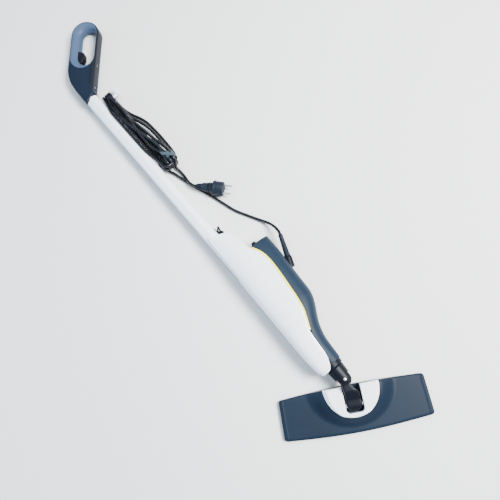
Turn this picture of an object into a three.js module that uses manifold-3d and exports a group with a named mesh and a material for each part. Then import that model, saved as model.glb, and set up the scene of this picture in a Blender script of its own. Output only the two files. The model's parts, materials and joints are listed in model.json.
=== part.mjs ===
// Upright steam mop without its water tank. It lies on its right side with its head flat on the floor.
// Units are millimetres. +Z is up, the origin is the middle of the head's sole, X runs along the head.
import * as THREE from "three";
import { mergeVertices } from "three/addons/utils/BufferGeometryUtils.js";
import Module from "manifold-3d";

// ---- Driving dimensions -------------------------------------------------------------------------
const GAP = 0.3; // air between neighbouring pieces
const BODY_TURN = THREE.MathUtils.degToRad(29.3); // body's heading, from straight behind the head
const BODY_TILT = THREE.MathUtils.degToRad(-1.46); // the handle end lies lower than the boiler end
const BODY_FOOT = new THREE.Vector3(-6.2, 57.7, 44.6); // where the body's own origin lies

const HEAD_HALF_LENGTH = 155;
const HEAD_HALF_DEPTH = 42; // at the two ends
const HEAD_FRONT_BOW = 8.5; // how far the front edge bows out in the middle
const HEAD_BACK_BOW = 6;
const HEAD_TOP = 14;
const SOLE_TOP = 5.5;
const PLATE_BOTTOM = 5.8;
const DOME_RISE = 19;
const PIVOT = new THREE.Vector3(0, 8, 26); // pitch axis of the knuckle
const SLOT_HALF = 19; // half width of the cover's slot
const SLOT_END = -8; // the slot's front end
const SLOT_CORNER = 8;
const COVER_HALF = 59;
const COVER_BACK = 47;

const PIN = new THREE.Vector2(0.5, 6); // steering pin, in the body's own frame
const SLEEVE_LOWER_R = 17;
const SLEEVE_UPPER_R = 19.2;
const COLLAR_R = 21.5;

const TUBE_AXIS = -15; // the tube's middle, across the body
const TUBE_WALL = 2;
const TUBE_START = 300;
const TUBE_END = 905;
const HANDLE_START = 894;
const HOOK_STATION = 866; // upper cord hook, along the tube
const SEAT = 339.5; // flat seat of the water tank

const LOOP_TILT = THREE.MathUtils.degToRad(42); // the handle loop leans back from the tube
const LOOP_FOOT = new THREE.Vector2(16, 979.3);
const LOOP_HALF = 36;
const LOOP_STRAIGHT = 96.5;
const HANDLE_HALF_THICK = 16.5;
const INSERT_HALF = 32.3;

const CORD_R = 3.5;

// ---- Materials ----------------------------------------------------------------------------------
const finish = (color, roughness, metalness = 0) =>
  new THREE.MeshStandardMaterial({ color, roughness, metalness });
const whiteGloss = finish(0xeef2f6, 0.25);
const slate = finish(0x38424f, 0.5);
const gripGrey = finish(0x7f8fa6, 0.45);
const black = finish(0x14161a, 0.45);
const yellow = finish(0xf3e35a, 0.4);
const steel = finish(0xa8abae, 0.35, 0.9);
const rubber = finish(0x101214, 0.8);
const boardGreen = finish(0x2c6b45, 0.5);
const strapGrey = finish(0x5d6f7d, 0.8);

// ---- Shape helpers ------------------------------------------------------------------------------
const wasm = await Module();
wasm.setup();

const model = new THREE.Group();
const body = new THREE.Group();
body.position.copy(BODY_FOOT);
body.rotation.set(BODY_TILT, 0, BODY_TURN, "ZYX");
body.updateMatrix();
const lying = new THREE.Group(); // same heading, but level with the floor
lying.position.set(BODY_FOOT.x, BODY_FOOT.y, 0);
lying.rotation.z = BODY_TURN;
lying.updateMatrix();
model.add(body, lying);

function solid(geometry) {
  const plain = geometry.index ? geometry.toNonIndexed() : geometry.clone();
  for (const name of Object.keys(plain.attributes)) {
    if (name !== "position") plain.deleteAttribute(name);
  }
  const merged = mergeVertices(plain, 1e-4);
  const index = merged.index.array;
  const kept = [];
  for (let i = 0; i < index.length; i += 3) {
    const [a, b, c] = [index[i], index[i + 1], index[i + 2]];
    if (a !== b && b !== c && c !== a) kept.push(a, b, c);
  }
  const made = new wasm.Manifold(new wasm.Mesh({
    numProp: 3,
    vertProperties: new Float32Array(merged.attributes.position.array),
    triVerts: new Uint32Array(kept),
  }));
  return made;
}

function geometryOf(shape) {
  const mesh = shape.getMesh();
  const geometry = new THREE.BufferGeometry();
  geometry.setAttribute("position", new THREE.BufferAttribute(new Float32Array(mesh.vertProperties), 3));
  geometry.setIndex(new THREE.BufferAttribute(new Uint32Array(mesh.triVerts), 1));
  geometry.computeVertexNormals();
  return geometry;
}

function add(group, name, shape, material) {
  const geometry = shape.isBufferGeometry ? shape : geometryOf(shape);
  const mesh = new THREE.Mesh(geometry, material);
  mesh.name = name;
  group.add(mesh);
  return mesh;
}

const at = (geometry, x, y, z) => geometry.clone().translate(x, y, z);
const box = (x0, x1, y0, y1, z0, z1) =>
  solid(at(new THREE.BoxGeometry(x1 - x0, y1 - y0, z1 - z0), (x0 + x1) / 2, (y0 + y1) / 2, (z0 + z1) / 2));

function cylinder(axis, r0, r1, from, to, sides = 24) {
  const geometry = new THREE.CylinderGeometry(r1, r0, to - from, sides);
  geometry.translate(0, (from + to) / 2, 0);
  if (axis === "x") geometry.rotateZ(-Math.PI / 2);
  if (axis === "z") geometry.rotateX(Math.PI / 2);
  return geometry;
}

function turned(profile, sides = 24) {
  return new THREE.LatheGeometry(profile.map(([r, y]) => new THREE.Vector2(r, y)), sides);
}

function outline(points) {
  return new THREE.Shape(points.map(([x, y]) => new THREE.Vector2(x, y)));
}

function slab(shape, z0, z1, bevel = 0, curveSegments = 10) {
  const geometry = new THREE.ExtrudeGeometry(shape, {
    depth: z1 - z0 - 2 * bevel,
    bevelEnabled: bevel > 0,
    bevelThickness: bevel,
    bevelSize: bevel,
    bevelOffset: -bevel,
    bevelSegments: 2,
    curveSegments,
  });
  return geometry.translate(0, 0, z0 + bevel);
}

function pipe(points, radius, sides, steps) {
  const curve = new THREE.CatmullRomCurve3(points.map((p) => new THREE.Vector3(...p)), false, "centripetal");
  const ring = new THREE.Shape();
  ring.absarc(0, 0, radius, 0, 2 * Math.PI);
  return new THREE.ExtrudeGeometry(ring, { steps, extrudePath: curve, curveSegments: sides / 2 });
}

// Reads a list of [station, value] pairs, in straight steps between them.
function along(table, y) {
  if (y <= table[0][0]) return table[0][1];
  for (let i = 1; i < table.length; i += 1) {
    const [y1, v1] = table[i];
    const [y0, v0] = table[i - 1];
    if (y <= y1) {
      const t = (y - y0) / (y1 - y0);
      return v0 + (v1 - v0) * t;
    }
  }
  return table[table.length - 1][1];
}

function reshape(geometry, move) {
  const p = geometry.attributes.position;
  const v = new THREE.Vector3();
  for (let i = 0; i < p.count; i += 1) {
    v.fromBufferAttribute(p, i);
    move(v);
    p.setXYZ(i, v.x, v.y, v.z);
  }
  return geometry;
}

// ---- Casing of the boiler -----------------------------------------------------------------------
// Each list gives [station along the body, value]: the front and back edges, half the thickness, and the
// line where the white shell meets the slate housing.
const FRONT_EDGE = [
  [38, -29.5], [46, -33], [60, -35.5], [100, -37], [165, -36], [245, -34.2], [300, -33.4], [424, -33.2],
];
const BACK_EDGE = [
  [38, 22], [46, 24], [62, 25.5], [92, 28.5], [121, 37], [140, 47], [158, 58], [174, 66], [190, 70.5],
  [224, 73], [264, 76.2], [300, 79], [340, 80], [360, 72], [380, 58], [400, 38], [424, 5],
];
const HALF_THICK = [
  [38, 23], [60, 27], [100, 33], [150, 37.2], [200, 38], [250, 38], [300, 36], [340, 33], [380, 27],
  [424, 20.2],
];
const SPLIT_EDGE = [
  [51, -0.6], [70, 5.5], [101, 8.6], [125, 11.8], [145, 20.5], [166, 29.4], [190, 34.6], [218, 38.5],
  [245, 42], [271, 44.7], [290, 45.6], [306, 44.8], [322, 40.5], [337, 33.5],
];
const TRIM_START = 125; // below this station the shell and the housing meet with no trim between them
const TRIM_WIDTH = 3.6;
const CASE_START = 38;
const CASE_END = 424;
const CASE_POWER = 2.7; // roundness of the casing's section: 2 is an ellipse
const CASE_WALL = 2.4;

function caseSolid(inset, from, to, stations = 14) {
  const geometry = new THREE.CylinderGeometry(1, 1, 1, 22, stations);
  return solid(reshape(geometry, (v) => {
    const y = from + (v.y + 0.5) * (to - from);
    const front = along(FRONT_EDGE, y) + inset;
    const back = along(BACK_EDGE, y) - inset;
    const high = along(HALF_THICK, y) - inset;
    const r = Math.hypot(v.x, v.z);
    const c = r > 0 ? v.x / r : 0;
    const s = r > 0 ? v.z / r : 0;
    const grow = (value) => Math.sign(value) * Math.abs(value) ** (2 / CASE_POWER);
    v.set((front + back) / 2 + r * grow(c) * (back - front) / 2, y, r * grow(s) * high);
  }));
}

const tubeOutline = (inset) => outline([
  [TUBE_AXIS - 16 + inset, -7], [TUBE_AXIS - 12.5 + inset, -14 + inset], [TUBE_AXIS + 2, -17 + inset],
  [TUBE_AXIS + 13 - inset, -12.5 + inset], [TUBE_AXIS + 16 - inset, -7], [TUBE_AXIS + 16 - inset, 7],
  [TUBE_AXIS + 13 - inset, 12.5 - inset], [TUBE_AXIS + 2, 17 - inset], [TUBE_AXIS - 12.5 + inset, 14 - inset],
  [TUBE_AXIS - 16 + inset, 7],
]);
// A slab turned so that its depth runs along the body.
const prism = (shape, y0, y1) => solid(slab(shape, -y1, -y0).rotateX(Math.PI / 2));

const REGION_HALF = 60; // more than the casing's half thickness
const region = (shape) => solid(slab(shape, -REGION_HALF, REGION_HALF));
const splitLine = (offset, from = 0) =>
  SPLIT_EDGE.filter(([y]) => y >= from).map(([y, x]) => [x + offset, y]);
const housingOffset = (y) => (y >= TRIM_START ? TRIM_WIDTH + GAP : GAP);
const frontRegion = outline([
  [-60, 30], [-60, 440], [-24, 440], [-20, 421], [2, 411], [8, 408.5], [15, 405.5], [20.5, 401], [23.5, 394],
  [25, 386], [26.2, 374], [28, 362], [30.5, 350], [33.2, 338],
  ...splitLine(0).slice(0, -1).reverse(), [-10, 39], [-20, 37.2], [-29, 36],
]);
const rearRegion = outline([
  [36.4, SEAT], [100, SEAT], [100, 30], [40, 30], [24, 46.5], [10, 45.5], [2.5, 50],
  ...splitLine(0).slice(1).map(([x, y]) => [x + housingOffset(y), y]),
]);
const trimRegion = outline([...splitLine(GAP, TRIM_START), ...splitLine(TRIM_WIDTH, TRIM_START).reverse()]);

const caseOuter = caseSolid(0, CASE_START, CASE_END);
const caseInner = caseSolid(CASE_WALL, CASE_START - 4, 402);
const tubeRoom = prism(tubeOutline(-GAP), 250, 440);
const neckRoom = solid(at(cylinder("y", COLLAR_R + GAP, COLLAR_R + GAP, 20, 62), PIN.x, 0, 0));
const frontRoom = outline([
  [-60, 20], [100, 20], [100, 337], [30.5, 340], [27.8, 350], [25.2, 362], [23.2, 376], [21, 388],
  [14, 398], [-2, 402], [-60, 402],
]);
const frontShell = caseOuter.intersect(region(frontRegion)).subtract(caseInner.intersect(region(frontRoom)))
  .subtract(tubeRoom).subtract(neckRoom);
add(body, "front_shell", frontShell, whiteGloss);

// Strain relief, a tapered sleeve on the back face, pointing up and out.
const RELIEF_FOOT = new THREE.Vector3(81.5, 272, 0);
const RELIEF_HEAD = new THREE.Vector3(104, 325, 0);
const RELIEF_BEND = Math.atan2(RELIEF_HEAD.x - RELIEF_FOOT.x, RELIEF_HEAD.y - RELIEF_FOOT.y);
const RELIEF_LENGTH = RELIEF_FOOT.distanceTo(RELIEF_HEAD);
const onRelief = (profile) => solid(turned(profile, 16).rotateZ(-RELIEF_BEND)
  .translate(RELIEF_FOOT.x, RELIEF_FOOT.y, 0));
const glandRoom = onRelief([[0, -30], [9.3, -30], [9.3, 30], [0, 30]]);
const inletRoom = solid(at(cylinder("y", 6.5, 6.5, 320, 360), 46, 0, 0));
const rearInner = caseInner.intersect(box(-60, 100, 20, SEAT - CASE_WALL, -60, 60));
const SCREW_STATIONS = [66, 133];
let rearHousing = caseOuter.intersect(region(rearRegion)).subtract(rearInner).subtract(neckRoom)
  .subtract(inletRoom).subtract(glandRoom);
for (const y of SCREW_STATIONS) {
  const face = along(BACK_EDGE, y);
  rearHousing = rearHousing.subtract(solid(at(cylinder("x", 3.5, 3.5, face - 3.4, face + 6, 16), 0, y, 0)));
}
add(body, "rear_housing", rearHousing, slate);

const trim = caseOuter.subtract(caseInner).intersect(region(trimRegion));
add(body, "trim_strip_left", trim.intersect(box(-60, 100, 0, 420, 0, 60)), yellow);
add(body, "trim_strip_right", trim.intersect(box(-60, 100, 0, 420, -60, 0)), yellow);

SCREW_STATIONS.forEach((y, i) => {
  const face = along(BACK_EDGE, y);
  add(body, `housing_screw_${i + 1}`, at(cylinder("x", 3, 3, face - 3, face - 0.6, 12), 0, y, 0), steel);
});

// ---- Tube and what it carries -------------------------------------------------------------------
const tubeCore = prism(tubeOutline(TUBE_WALL), TUBE_START - 5, TUBE_END + 5);
const hookBore = solid(at(cylinder("x", 3.4, 3.4, -5, 10, 16), 0, HOOK_STATION, 0));
const tube = prism(tubeOutline(0), TUBE_START, TUBE_END).subtract(tubeCore).subtract(hookBore);
add(body, "tube", tube, whiteGloss);

const LATCH_PIVOT = [7, 423];
const latchBore = (r, half) => solid(at(cylinder("z", r, r, -half, half, 16), ...LATCH_PIVOT, 0));
const latchEar = (z0, z1) => box(3, 9.5, 419.5, 426.5, z0, z1);
const latchBase = box(1.4, 3.4, 413.5, 433, -8, 8).add(latchEar(-8, -5.4)).add(latchEar(5.4, 8))
  .subtract(latchBore(1.55, 10));
add(body, "latch_bracket", latchBase, black);
add(body, "latch_pin", at(cylinder("z", 1.25, 1.25, -8, 8, 16), ...LATCH_PIVOT, 0), steel);
const latchShape = outline([[4.6, 427], [4.6, 419], [6, 417], [9, 413.5], [12.6, 412], [13.4, 415],
  [10.4, 420], [10.4, 427], [12, 432], [9.5, 433], [7, 428.5]]);
add(body, "tank_latch", solid(slab(latchShape, -5, 5)).subtract(latchBore(1.55, 10)), black);

const hook = solid(at(cylinder("x", 3, 3, -4, 44, 16), 0, HOOK_STATION, 0))
  .add(box(43, 48, HOOK_STATION - 5, HOOK_STATION + 19, -5, 5));
add(body, "cord_hook_upper", hook, whiteGloss);
add(body, "cord_hook_base", solid(at(cylinder("x", 8, 7, 1.3, 5, 24), 0, HOOK_STATION, 0))
  .subtract(solid(at(cylinder("x", 3.4, 3.4, 0, 10, 16), 0, HOOK_STATION, 0))), whiteGloss);

// Strain relief in its gland.
const relief = onRelief([[0, 0], [6.3, 0], [6.3, 12], [5.9, 16], [4.9, RELIEF_LENGTH], [0, RELIEF_LENGTH]]);
add(body, "strain_relief", relief, slate);
const gland = onRelief([[6.6, -16], [9, -16], [9, 2], [7.8, 6], [6.6, 6], [6.6, -16]]);
add(body, "relief_gland", gland.add(onRelief([[0, -20], [9, -20], [9, -GAP], [0, -GAP]])), black);

// ---- Inside the casing --------------------------------------------------------------------------
const BOILER = { x: 8, r: 23.5, from: 122, to: 226 };
const boilerProfile = [
  [4, BOILER.from], [14, BOILER.from], [BOILER.r - 2, BOILER.from + 5], [BOILER.r, BOILER.from + 12],
  [BOILER.r, BOILER.to - 12], [BOILER.r - 2, BOILER.to - 5], [14, BOILER.to], [3.4, BOILER.to],
  [3.4, BOILER.to - 2], [13, BOILER.to - 2], [BOILER.r - 4, BOILER.to - 7], [BOILER.r - 2, BOILER.to - 13],
  [BOILER.r - 2, BOILER.from + 13], [BOILER.r - 4, BOILER.from + 7], [13, BOILER.from + 2],
  [4, BOILER.from + 2], [4, BOILER.from],
];
add(body, "boiler", at(turned(boilerProfile, 20), BOILER.x, 0, 0), steel);
const thermostat = solid(at(cylinder("x", 8, 8, 0, 7, 16), BOILER.x - BOILER.r - 7.5, 174, 0));
add(body, "thermostat", thermostat, steel);
const pump = box(24, 58, 252, 296, -17, 17).add(solid(at(cylinder("y", 4, 4, 295, 306, 16), 44, 0, 0)))
  .add(solid(at(cylinder("y", 3, 3, 244, 253, 16), 32, 0, 0)));
add(body, "pump", pump, black);
add(body, "circuit_board", box(-26, 16, 236, 290, 17.2, 18.8).subtract(box(15, 30, 250, 300, 10, 20)),
  boardGreen);
const BOILER_HOSE = [[32, 243.4, 0], [32, 240, 0], [27, 235.5, 0], [14, 235.5, 0], [8, 231.5, 0],
  [8, 227.5, 0]];
const WATER_HOSE = [[46, 325.5, 0], [46, 320, 0], [44.5, 313, 0], [44, 306.4, 0]];
const STEAM_PIPE = [[8, 121.6, 0], [8, 112, 0], [4, 95, 0], [0.5, 82, 0], [0.5, 72.5, 0]];
add(body, "boiler_hose", pipe(BOILER_HOSE, 2.6, 8, 10), rubber);
add(body, "water_hose", pipe(WATER_HOSE, 3, 8, 6), rubber);
add(body, "steam_pipe", pipe(STEAM_PIPE, 3, 8, 10), steel);

const inletProfile = [
  [0, 326], [4, 326], [4, 333], [6.1, 333], [6.1, 348], [4.6, 352], [2.5, 352], [2.5, 340], [0, 340],
];
add(body, "tank_inlet", at(turned(inletProfile, 20), 46, 0, 0), black);
const sealProfile = [[6.5, 342], [8.4, 342], [8.4, 345.5], [6.5, 345.5], [6.5, 342]];
add(body, "inlet_seal", at(turned(sealProfile, 20), 46, 0, 0), rubber);

// ---- Handle -------------------------------------------------------------------------------------
// Point of the handle loop: u runs up the loop, v across it towards the user.
const loop = (u, v) => [
  LOOP_FOOT.x + u * Math.sin(LOOP_TILT) + v * Math.cos(LOOP_TILT),
  LOOP_FOOT.y + u * Math.cos(LOOP_TILT) - v * Math.sin(LOOP_TILT),
];
const FRONT_ANGLE = Math.PI - LOOP_TILT;
const BACK_ANGLE = -LOOP_TILT;

function stadium(u0, u1, v0, v1) {
  const r = (v1 - v0) / 2;
  const middle = (v0 + v1) / 2;
  const shape = new THREE.Shape();
  shape.absarc(...loop(u1 - r, middle), r, FRONT_ANGLE, BACK_ANGLE, true);
  shape.absarc(...loop(u0 + r, middle), r, BACK_ANGLE, BACK_ANGLE - Math.PI, true);
  shape.closePath();
  return shape;
}

const handleShape = new THREE.Shape();
handleShape.moveTo(TUBE_AXIS - 16.6, HANDLE_START);
handleShape.lineTo(TUBE_AXIS - 16.4, 930);
handleShape.bezierCurveTo(TUBE_AXIS - 16.2, 962, TUBE_AXIS - 12, 990, ...loop(14, -LOOP_HALF));
handleShape.lineTo(...loop(LOOP_STRAIGHT, -LOOP_HALF));
handleShape.absarc(...loop(LOOP_STRAIGHT, 0), LOOP_HALF, FRONT_ANGLE, BACK_ANGLE, true);
handleShape.lineTo(...loop(-58, LOOP_HALF));
handleShape.lineTo(TUBE_AXIS + 16.6, 904);
handleShape.lineTo(TUBE_AXIS + 16.6, HANDLE_START);
handleShape.closePath();

const HANDLE_BEVEL = 5;
const handleBlock = solid(slab(handleShape, -HANDLE_HALF_THICK, HANDLE_HALF_THICK, HANDLE_BEVEL, 16));
const socket = box(-60, 60, HANDLE_START - 40, HANDLE_START + 0.01, -40, 40);
const collarPart = prism(tubeOutline(-2.2), HANDLE_START, HANDLE_START + 16);
const insertStadium = (grow) =>
  region(stadium(-grow, 129 + grow, -INSERT_HALF - grow, INSERT_HALF + 0.2 + grow));
const handleWhole = handleBlock.add(collarPart).subtract(socket).subtract(insertStadium(GAP))
  .subtract(prism(tubeOutline(-GAP), HANDLE_START - 5, TUBE_END + GAP));

const SPLIT_V = 27;
const loopStrip = (v0, v1) => region(outline([loop(-140, v0), loop(-140, v1), loop(160, v1), loop(160, v0)]));
const frontSide = loopStrip(-120, SPLIT_V);
const backSide = loopStrip(SPLIT_V + GAP, 80);
const WIRE_ROUTE = [[TUBE_AXIS, 310, 0], [TUBE_AXIS, 600, 0], [TUBE_AXIS, 890, 0], [TUBE_AXIS + 1.5, 915, 0],
  [TUBE_AXIS + 6, 940, 0], [...loop(-14, -18), 0], [...loop(1, -18), 0]];
const wireRoute = (radius, sides) => pipe(WIRE_ROUTE, radius, sides, 24);
const wireBore = solid(wireRoute(4, 12));
const HANDLE_SCREWS = [-47, 14];
const screwAxis = (u, v0, v1, r) => {
  const geometry = new THREE.CylinderGeometry(r, r, v1 - v0, 16).rotateZ(-Math.PI / 2 - LOOP_TILT);
  const [x, y] = loop(u, (v0 + v1) / 2);
  return geometry.translate(x, y, 0);
};
let handleBack = handleWhole.intersect(backSide).subtract(wireBore);
for (const u of HANDLE_SCREWS) handleBack = handleBack.subtract(solid(screwAxis(u, 32.5, 40, 3.4)));
add(body, "handle_front_shell", handleWhole.intersect(frontSide).subtract(wireBore), slate);
add(body, "handle_back_shell", handleBack, slate);
HANDLE_SCREWS.forEach((u, i) => add(body, `handle_screw_${i + 1}`, screwAxis(u, 32.8, 35, 3), steel));

const POCKET = { u0: 13.5, u1: 51, v0: -29, half: 9.8 };
const pocketOutline = outline([loop(POCKET.u0, POCKET.v0), loop(POCKET.u1, POCKET.v0), loop(POCKET.u1, -5),
  loop(POCKET.u0, -5)]);
const insertBlock = slab(stadium(0, 129, -INSERT_HALF, INSERT_HALF + 0.2), -HANDLE_HALF_THICK,
  HANDLE_HALF_THICK, 0, 16);
const insert = solid(insertBlock)
  .subtract(region(stadium(12, 111, -11.5, 31)))
  .subtract(solid(slab(pocketOutline, -POCKET.half, POCKET.half)))
  .subtract(solid(pipe([[...loop(-6, -18), 0], [...loop(20, -18), 0]], 4, 12, 1)));
const triggerPivot = loop(18.5, -19);
const pivotBore = (r, half) => solid(at(cylinder("z", r, r, -half, half, 16), ...triggerPivot, 0));
add(body, "handle_grip_insert", insert.subtract(pivotBore(1.8, 12.6)), gripGrey);

const triggerOutline = outline([loop(15, -21.5), loop(22, -22), loop(30, -17.5), loop(48.5, -17),
  loop(49, -4), loop(46, 0), loop(30, 1), loop(19, -4), loop(15, -12)]);
const trigger = solid(slab(triggerOutline, -9.3, 9.3, 1)).subtract(pivotBore(1.8, 12))
  .subtract(solid(at(cylinder("z", 5.4, 5.4, -3.6, 3.6, 16), ...triggerPivot, 0)))
  .subtract(solid(slab(outline([loop(8, -30), loop(8, -19), loop(19, -19), loop(24, -30)]), -3.6, 3.6)));
add(body, "trigger", trigger, black);
add(body, "trigger_pin", at(cylinder("z", 1.5, 1.5, -12.3, 12.3, 16), ...triggerPivot, 0), steel);
const coil = turned([[2.1, -3], [4.6, -3], [4.6, 3], [2.1, 3], [2.1, -3]], 16).rotateX(Math.PI / 2);
add(body, "trigger_spring", at(coil, ...triggerPivot, 0), steel);
const switchOutline = outline([loop(36, -28.5), loop(49, -28.5), loop(49, -22.3), loop(36, -22.3)]);
add(body, "steam_switch", slab(switchOutline, -4, 4), black);
add(body, "switch_wire", wireRoute(1.5, 8), black);

// ---- Neck: swivelling sleeve, steering pin, knuckle ---------------------------------------------
const sleeveProfile = [
  [0, -5], [11, -5], [SLEEVE_LOWER_R - 1.5, 0], [SLEEVE_LOWER_R, 6], [SLEEVE_UPPER_R, 34],
  [SLEEVE_UPPER_R - 1.2, 35], [SLEEVE_UPPER_R - 1.2, 60], [15, 60], [15, 64], [17, 64], [17, 67], [6, 67],
  [6, 30], [0, 30],
];
const SLOT_Z = 8.4;
const sleeve = solid(at(turned(sleeveProfile, 28), PIN.x, 0, 0))
  .subtract(box(-30, 30, -30, PIN.y + 1, -SLOT_Z, SLOT_Z))
  .subtract(solid(at(cylinder("z", 17.5, 17.5, -SLOT_Z, SLOT_Z, 28), PIN.x, PIN.y, 0)))
  .subtract(solid(at(cylinder("z", 3.3, 3.3, -30, 30, 20), PIN.x, PIN.y, 0)));
add(body, "neck_sleeve", sleeve, black);
add(body, "steer_pin", at(cylinder("z", 3, 3, -16.6, 16.6, 20), PIN.x, PIN.y, 0), steel);
const collarProfile = [[SLEEVE_UPPER_R - 0.8, 36], [COLLAR_R - 0.6, 36], [COLLAR_R, 38], [COLLAR_R, 59.4],
  [SLEEVE_UPPER_R - 0.8, 59.4], [SLEEVE_UPPER_R - 0.8, 36]];
add(body, "neck_collar", at(turned(collarProfile, 28), PIN.x, 0, 0), black);
const clipProfile = [[15.3, 60.4], [19.5, 60.4], [19.5, 63.6], [15.3, 63.6], [15.3, 60.4]];
add(body, "swivel_clip", at(turned(clipProfile, 24), PIN.x, 0, 0), steel);

// Knuckle: its lower end turns on the axle in the head, its upper lug turns on the steering pin.
const pinPlace = new THREE.Vector3(PIN.x, PIN.y, 0).applyMatrix4(body.matrix);
const sideShape = new THREE.Shape();
sideShape.absarc(PIVOT.y, PIVOT.z, 13, Math.PI * 0.5, Math.PI * 1.72, false);
sideShape.lineTo(30, 20.5);
sideShape.lineTo(44, 29);
sideShape.lineTo(50, 41);
sideShape.lineTo(50, 48);
sideShape.lineTo(40, 48.5);
sideShape.lineTo(30, 45.5);
sideShape.lineTo(20, 39.6);
sideShape.closePath();
const SIDE_DEPTH = { depth: 80, bevelEnabled: false, curveSegments: 14 };
const armSide = solid(new THREE.ExtrudeGeometry(sideShape, SIDE_DEPTH)
  .applyMatrix4(new THREE.Matrix4().makeBasis(new THREE.Vector3(0, 1, 0), new THREE.Vector3(0, 0, 1),
    new THREE.Vector3(1, 0, 0))).translate(-40, 0, 0));
const planShape = new THREE.Shape();
planShape.moveTo(-16.4, 12);
planShape.absarc(0, PIVOT.y + 3, 16.4, Math.PI, 2 * Math.PI, false);
planShape.lineTo(14.5, 33);
planShape.lineTo(1.6, 49);
planShape.absarc(pinPlace.x, pinPlace.y, 14.4, -Math.PI * 0.28, Math.PI, false);
planShape.lineTo(-18.2, 48.5);
planShape.lineTo(-16.4, 34);
planShape.closePath();
const armPlan = solid(slab(planShape, 0, 60, 0, 14));
const lugFrame = body.matrix.clone().multiply(new THREE.Matrix4().makeTranslation(PIN.x, PIN.y, 0));
const lug = solid(cylinder("z", 40, 40, -8, 8, 32).applyMatrix4(lugFrame)).intersect(armPlan)
  .intersect(box(-60, 60, 36, 100, 0, 80));
const lugRelief = solid(cylinder("z", 19.4, 19.4, -30, 30, 32).applyMatrix4(lugFrame));
const pinBore = solid(cylinder("z", 3.4, 3.4, -30, 30, 20).applyMatrix4(lugFrame));
const AXLE_R = 4;
const axleHole = (half) =>
  solid(at(cylinder("x", AXLE_R + GAP, AXLE_R + GAP, -half, half, 20), 0, PIVOT.y, PIVOT.z));
const knuckle = armSide.intersect(armPlan).subtract(lugRelief).add(lug).subtract(pinBore)
  .subtract(axleHole(40));
add(model, "knuckle", knuckle, black);
add(model, "pitch_axle", at(cylinder("x", AXLE_R, AXLE_R, -30, 30, 20), 0, PIVOT.y, PIVOT.z), steel);

// ---- Head ---------------------------------------------------------------------------------------
const bow = (x) => Math.cos((Math.PI / 2) * Math.min(1, Math.abs(x) / HEAD_HALF_LENGTH));
const frontLine = (x, inset) => -(HEAD_HALF_DEPTH - inset) - HEAD_FRONT_BOW * bow(x);
const backLine = (x, inset) => HEAD_HALF_DEPTH - inset + HEAD_BACK_BOW * bow(x);
const smooth = (t) => {
  const k = THREE.MathUtils.clamp(t, 0, 1);
  return k * k * (3 - 2 * k);
};
const dome = (x, y) => DOME_RISE * smooth((1 - Math.hypot(x / 96, Math.min(y - 44, 0) / 84)) * 2.6);

function headSlab(inset, bottom, top, nx, ny) {
  return reshape(new THREE.BoxGeometry(2, 2, 2, nx, ny, 1), (v) => {
    const x = v.x * (HEAD_HALF_LENGTH - inset);
    const t = (v.y + 1) / 2;
    const y = frontLine(x, inset) * (1 - t) + backLine(x, inset) * t;
    v.set(x, y, v.z < 0 ? bottom : top(x, y));
  });
}

const coverShape = (grow, slot) => {
  const shape = new THREE.Shape();
  const back = COVER_BACK + grow;
  shape.moveTo(COVER_HALF + grow, back);
  if (slot > 0) {
    const corner = slot - SLOT_CORNER;
    shape.lineTo(slot, back);
    shape.absarc(corner, SLOT_END + SLOT_CORNER, SLOT_CORNER, 0, -Math.PI / 2, true);
    shape.absarc(-corner, SLOT_END + SLOT_CORNER, SLOT_CORNER, -Math.PI / 2, -Math.PI, true);
    shape.lineTo(-slot, back);
  }
  shape.lineTo(-COVER_HALF - grow, back);
  shape.bezierCurveTo(-COVER_HALF - grow, 12, -36 - grow, -18 - grow, 0, -18 - grow);
  shape.bezierCurveTo(36 + grow, -18 - grow, COVER_HALF + grow, 12, COVER_HALF + grow, back);
  return shape;
};
const COVER_BOTTOM = 16;
const coverSlope = solid(reshape(new THREE.BoxGeometry(140, 100, 60, 1, 1, 1), (v) => {
  v.y += 20;
  v.z = v.z < 0 ? -10 : 33 + (v.y + 20) * 0.13;
}));
const cover = solid(slab(coverShape(0, SLOT_HALF), COVER_BOTTOM, 60, 0, 14)).intersect(coverSlope)
  .subtract(axleHole(31));
add(model, "head_cover", cover, whiteGloss);

const solePlateOutline = headSlab(5, 0, () => SOLE_TOP, 24, 1);
const PADS = [[-142, -84], [84, 142]];
const padBox = ([x0, x1], grow) => box(x0 - grow, x1 + grow, -26 - grow, 26 + grow, -1, 1.6 + grow);
const HEAD_SCREWS = [[-70, -34], [70, -34], [-70, 34], [70, 34]];
let sole = solid(solePlateOutline);
for (const pad of PADS) sole = sole.subtract(padBox(pad, GAP));
for (const [x, y] of HEAD_SCREWS) {
  sole = sole.subtract(solid(at(cylinder("z", 4, 4, -1, 3, 16), x, y, 0)))
    .subtract(solid(at(cylinder("z", 2.2, 2.2, 0, 10, 12), x, y, 0)));
}
for (const x of [-60, -44, -28, 28, 44, 60]) sole = sole.subtract(box(x - 5, x + 5, -2, 2, -1, 10));
add(model, "sole_plate", sole, black);
PADS.forEach(([x0, x1], i) => {
  add(model, `hook_pad_${i === 0 ? "left" : "right"}`, new THREE.BoxGeometry(x1 - x0, 52, 1.6)
    .translate((x0 + x1) / 2, 0, 0.8), rubber);
});

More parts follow.
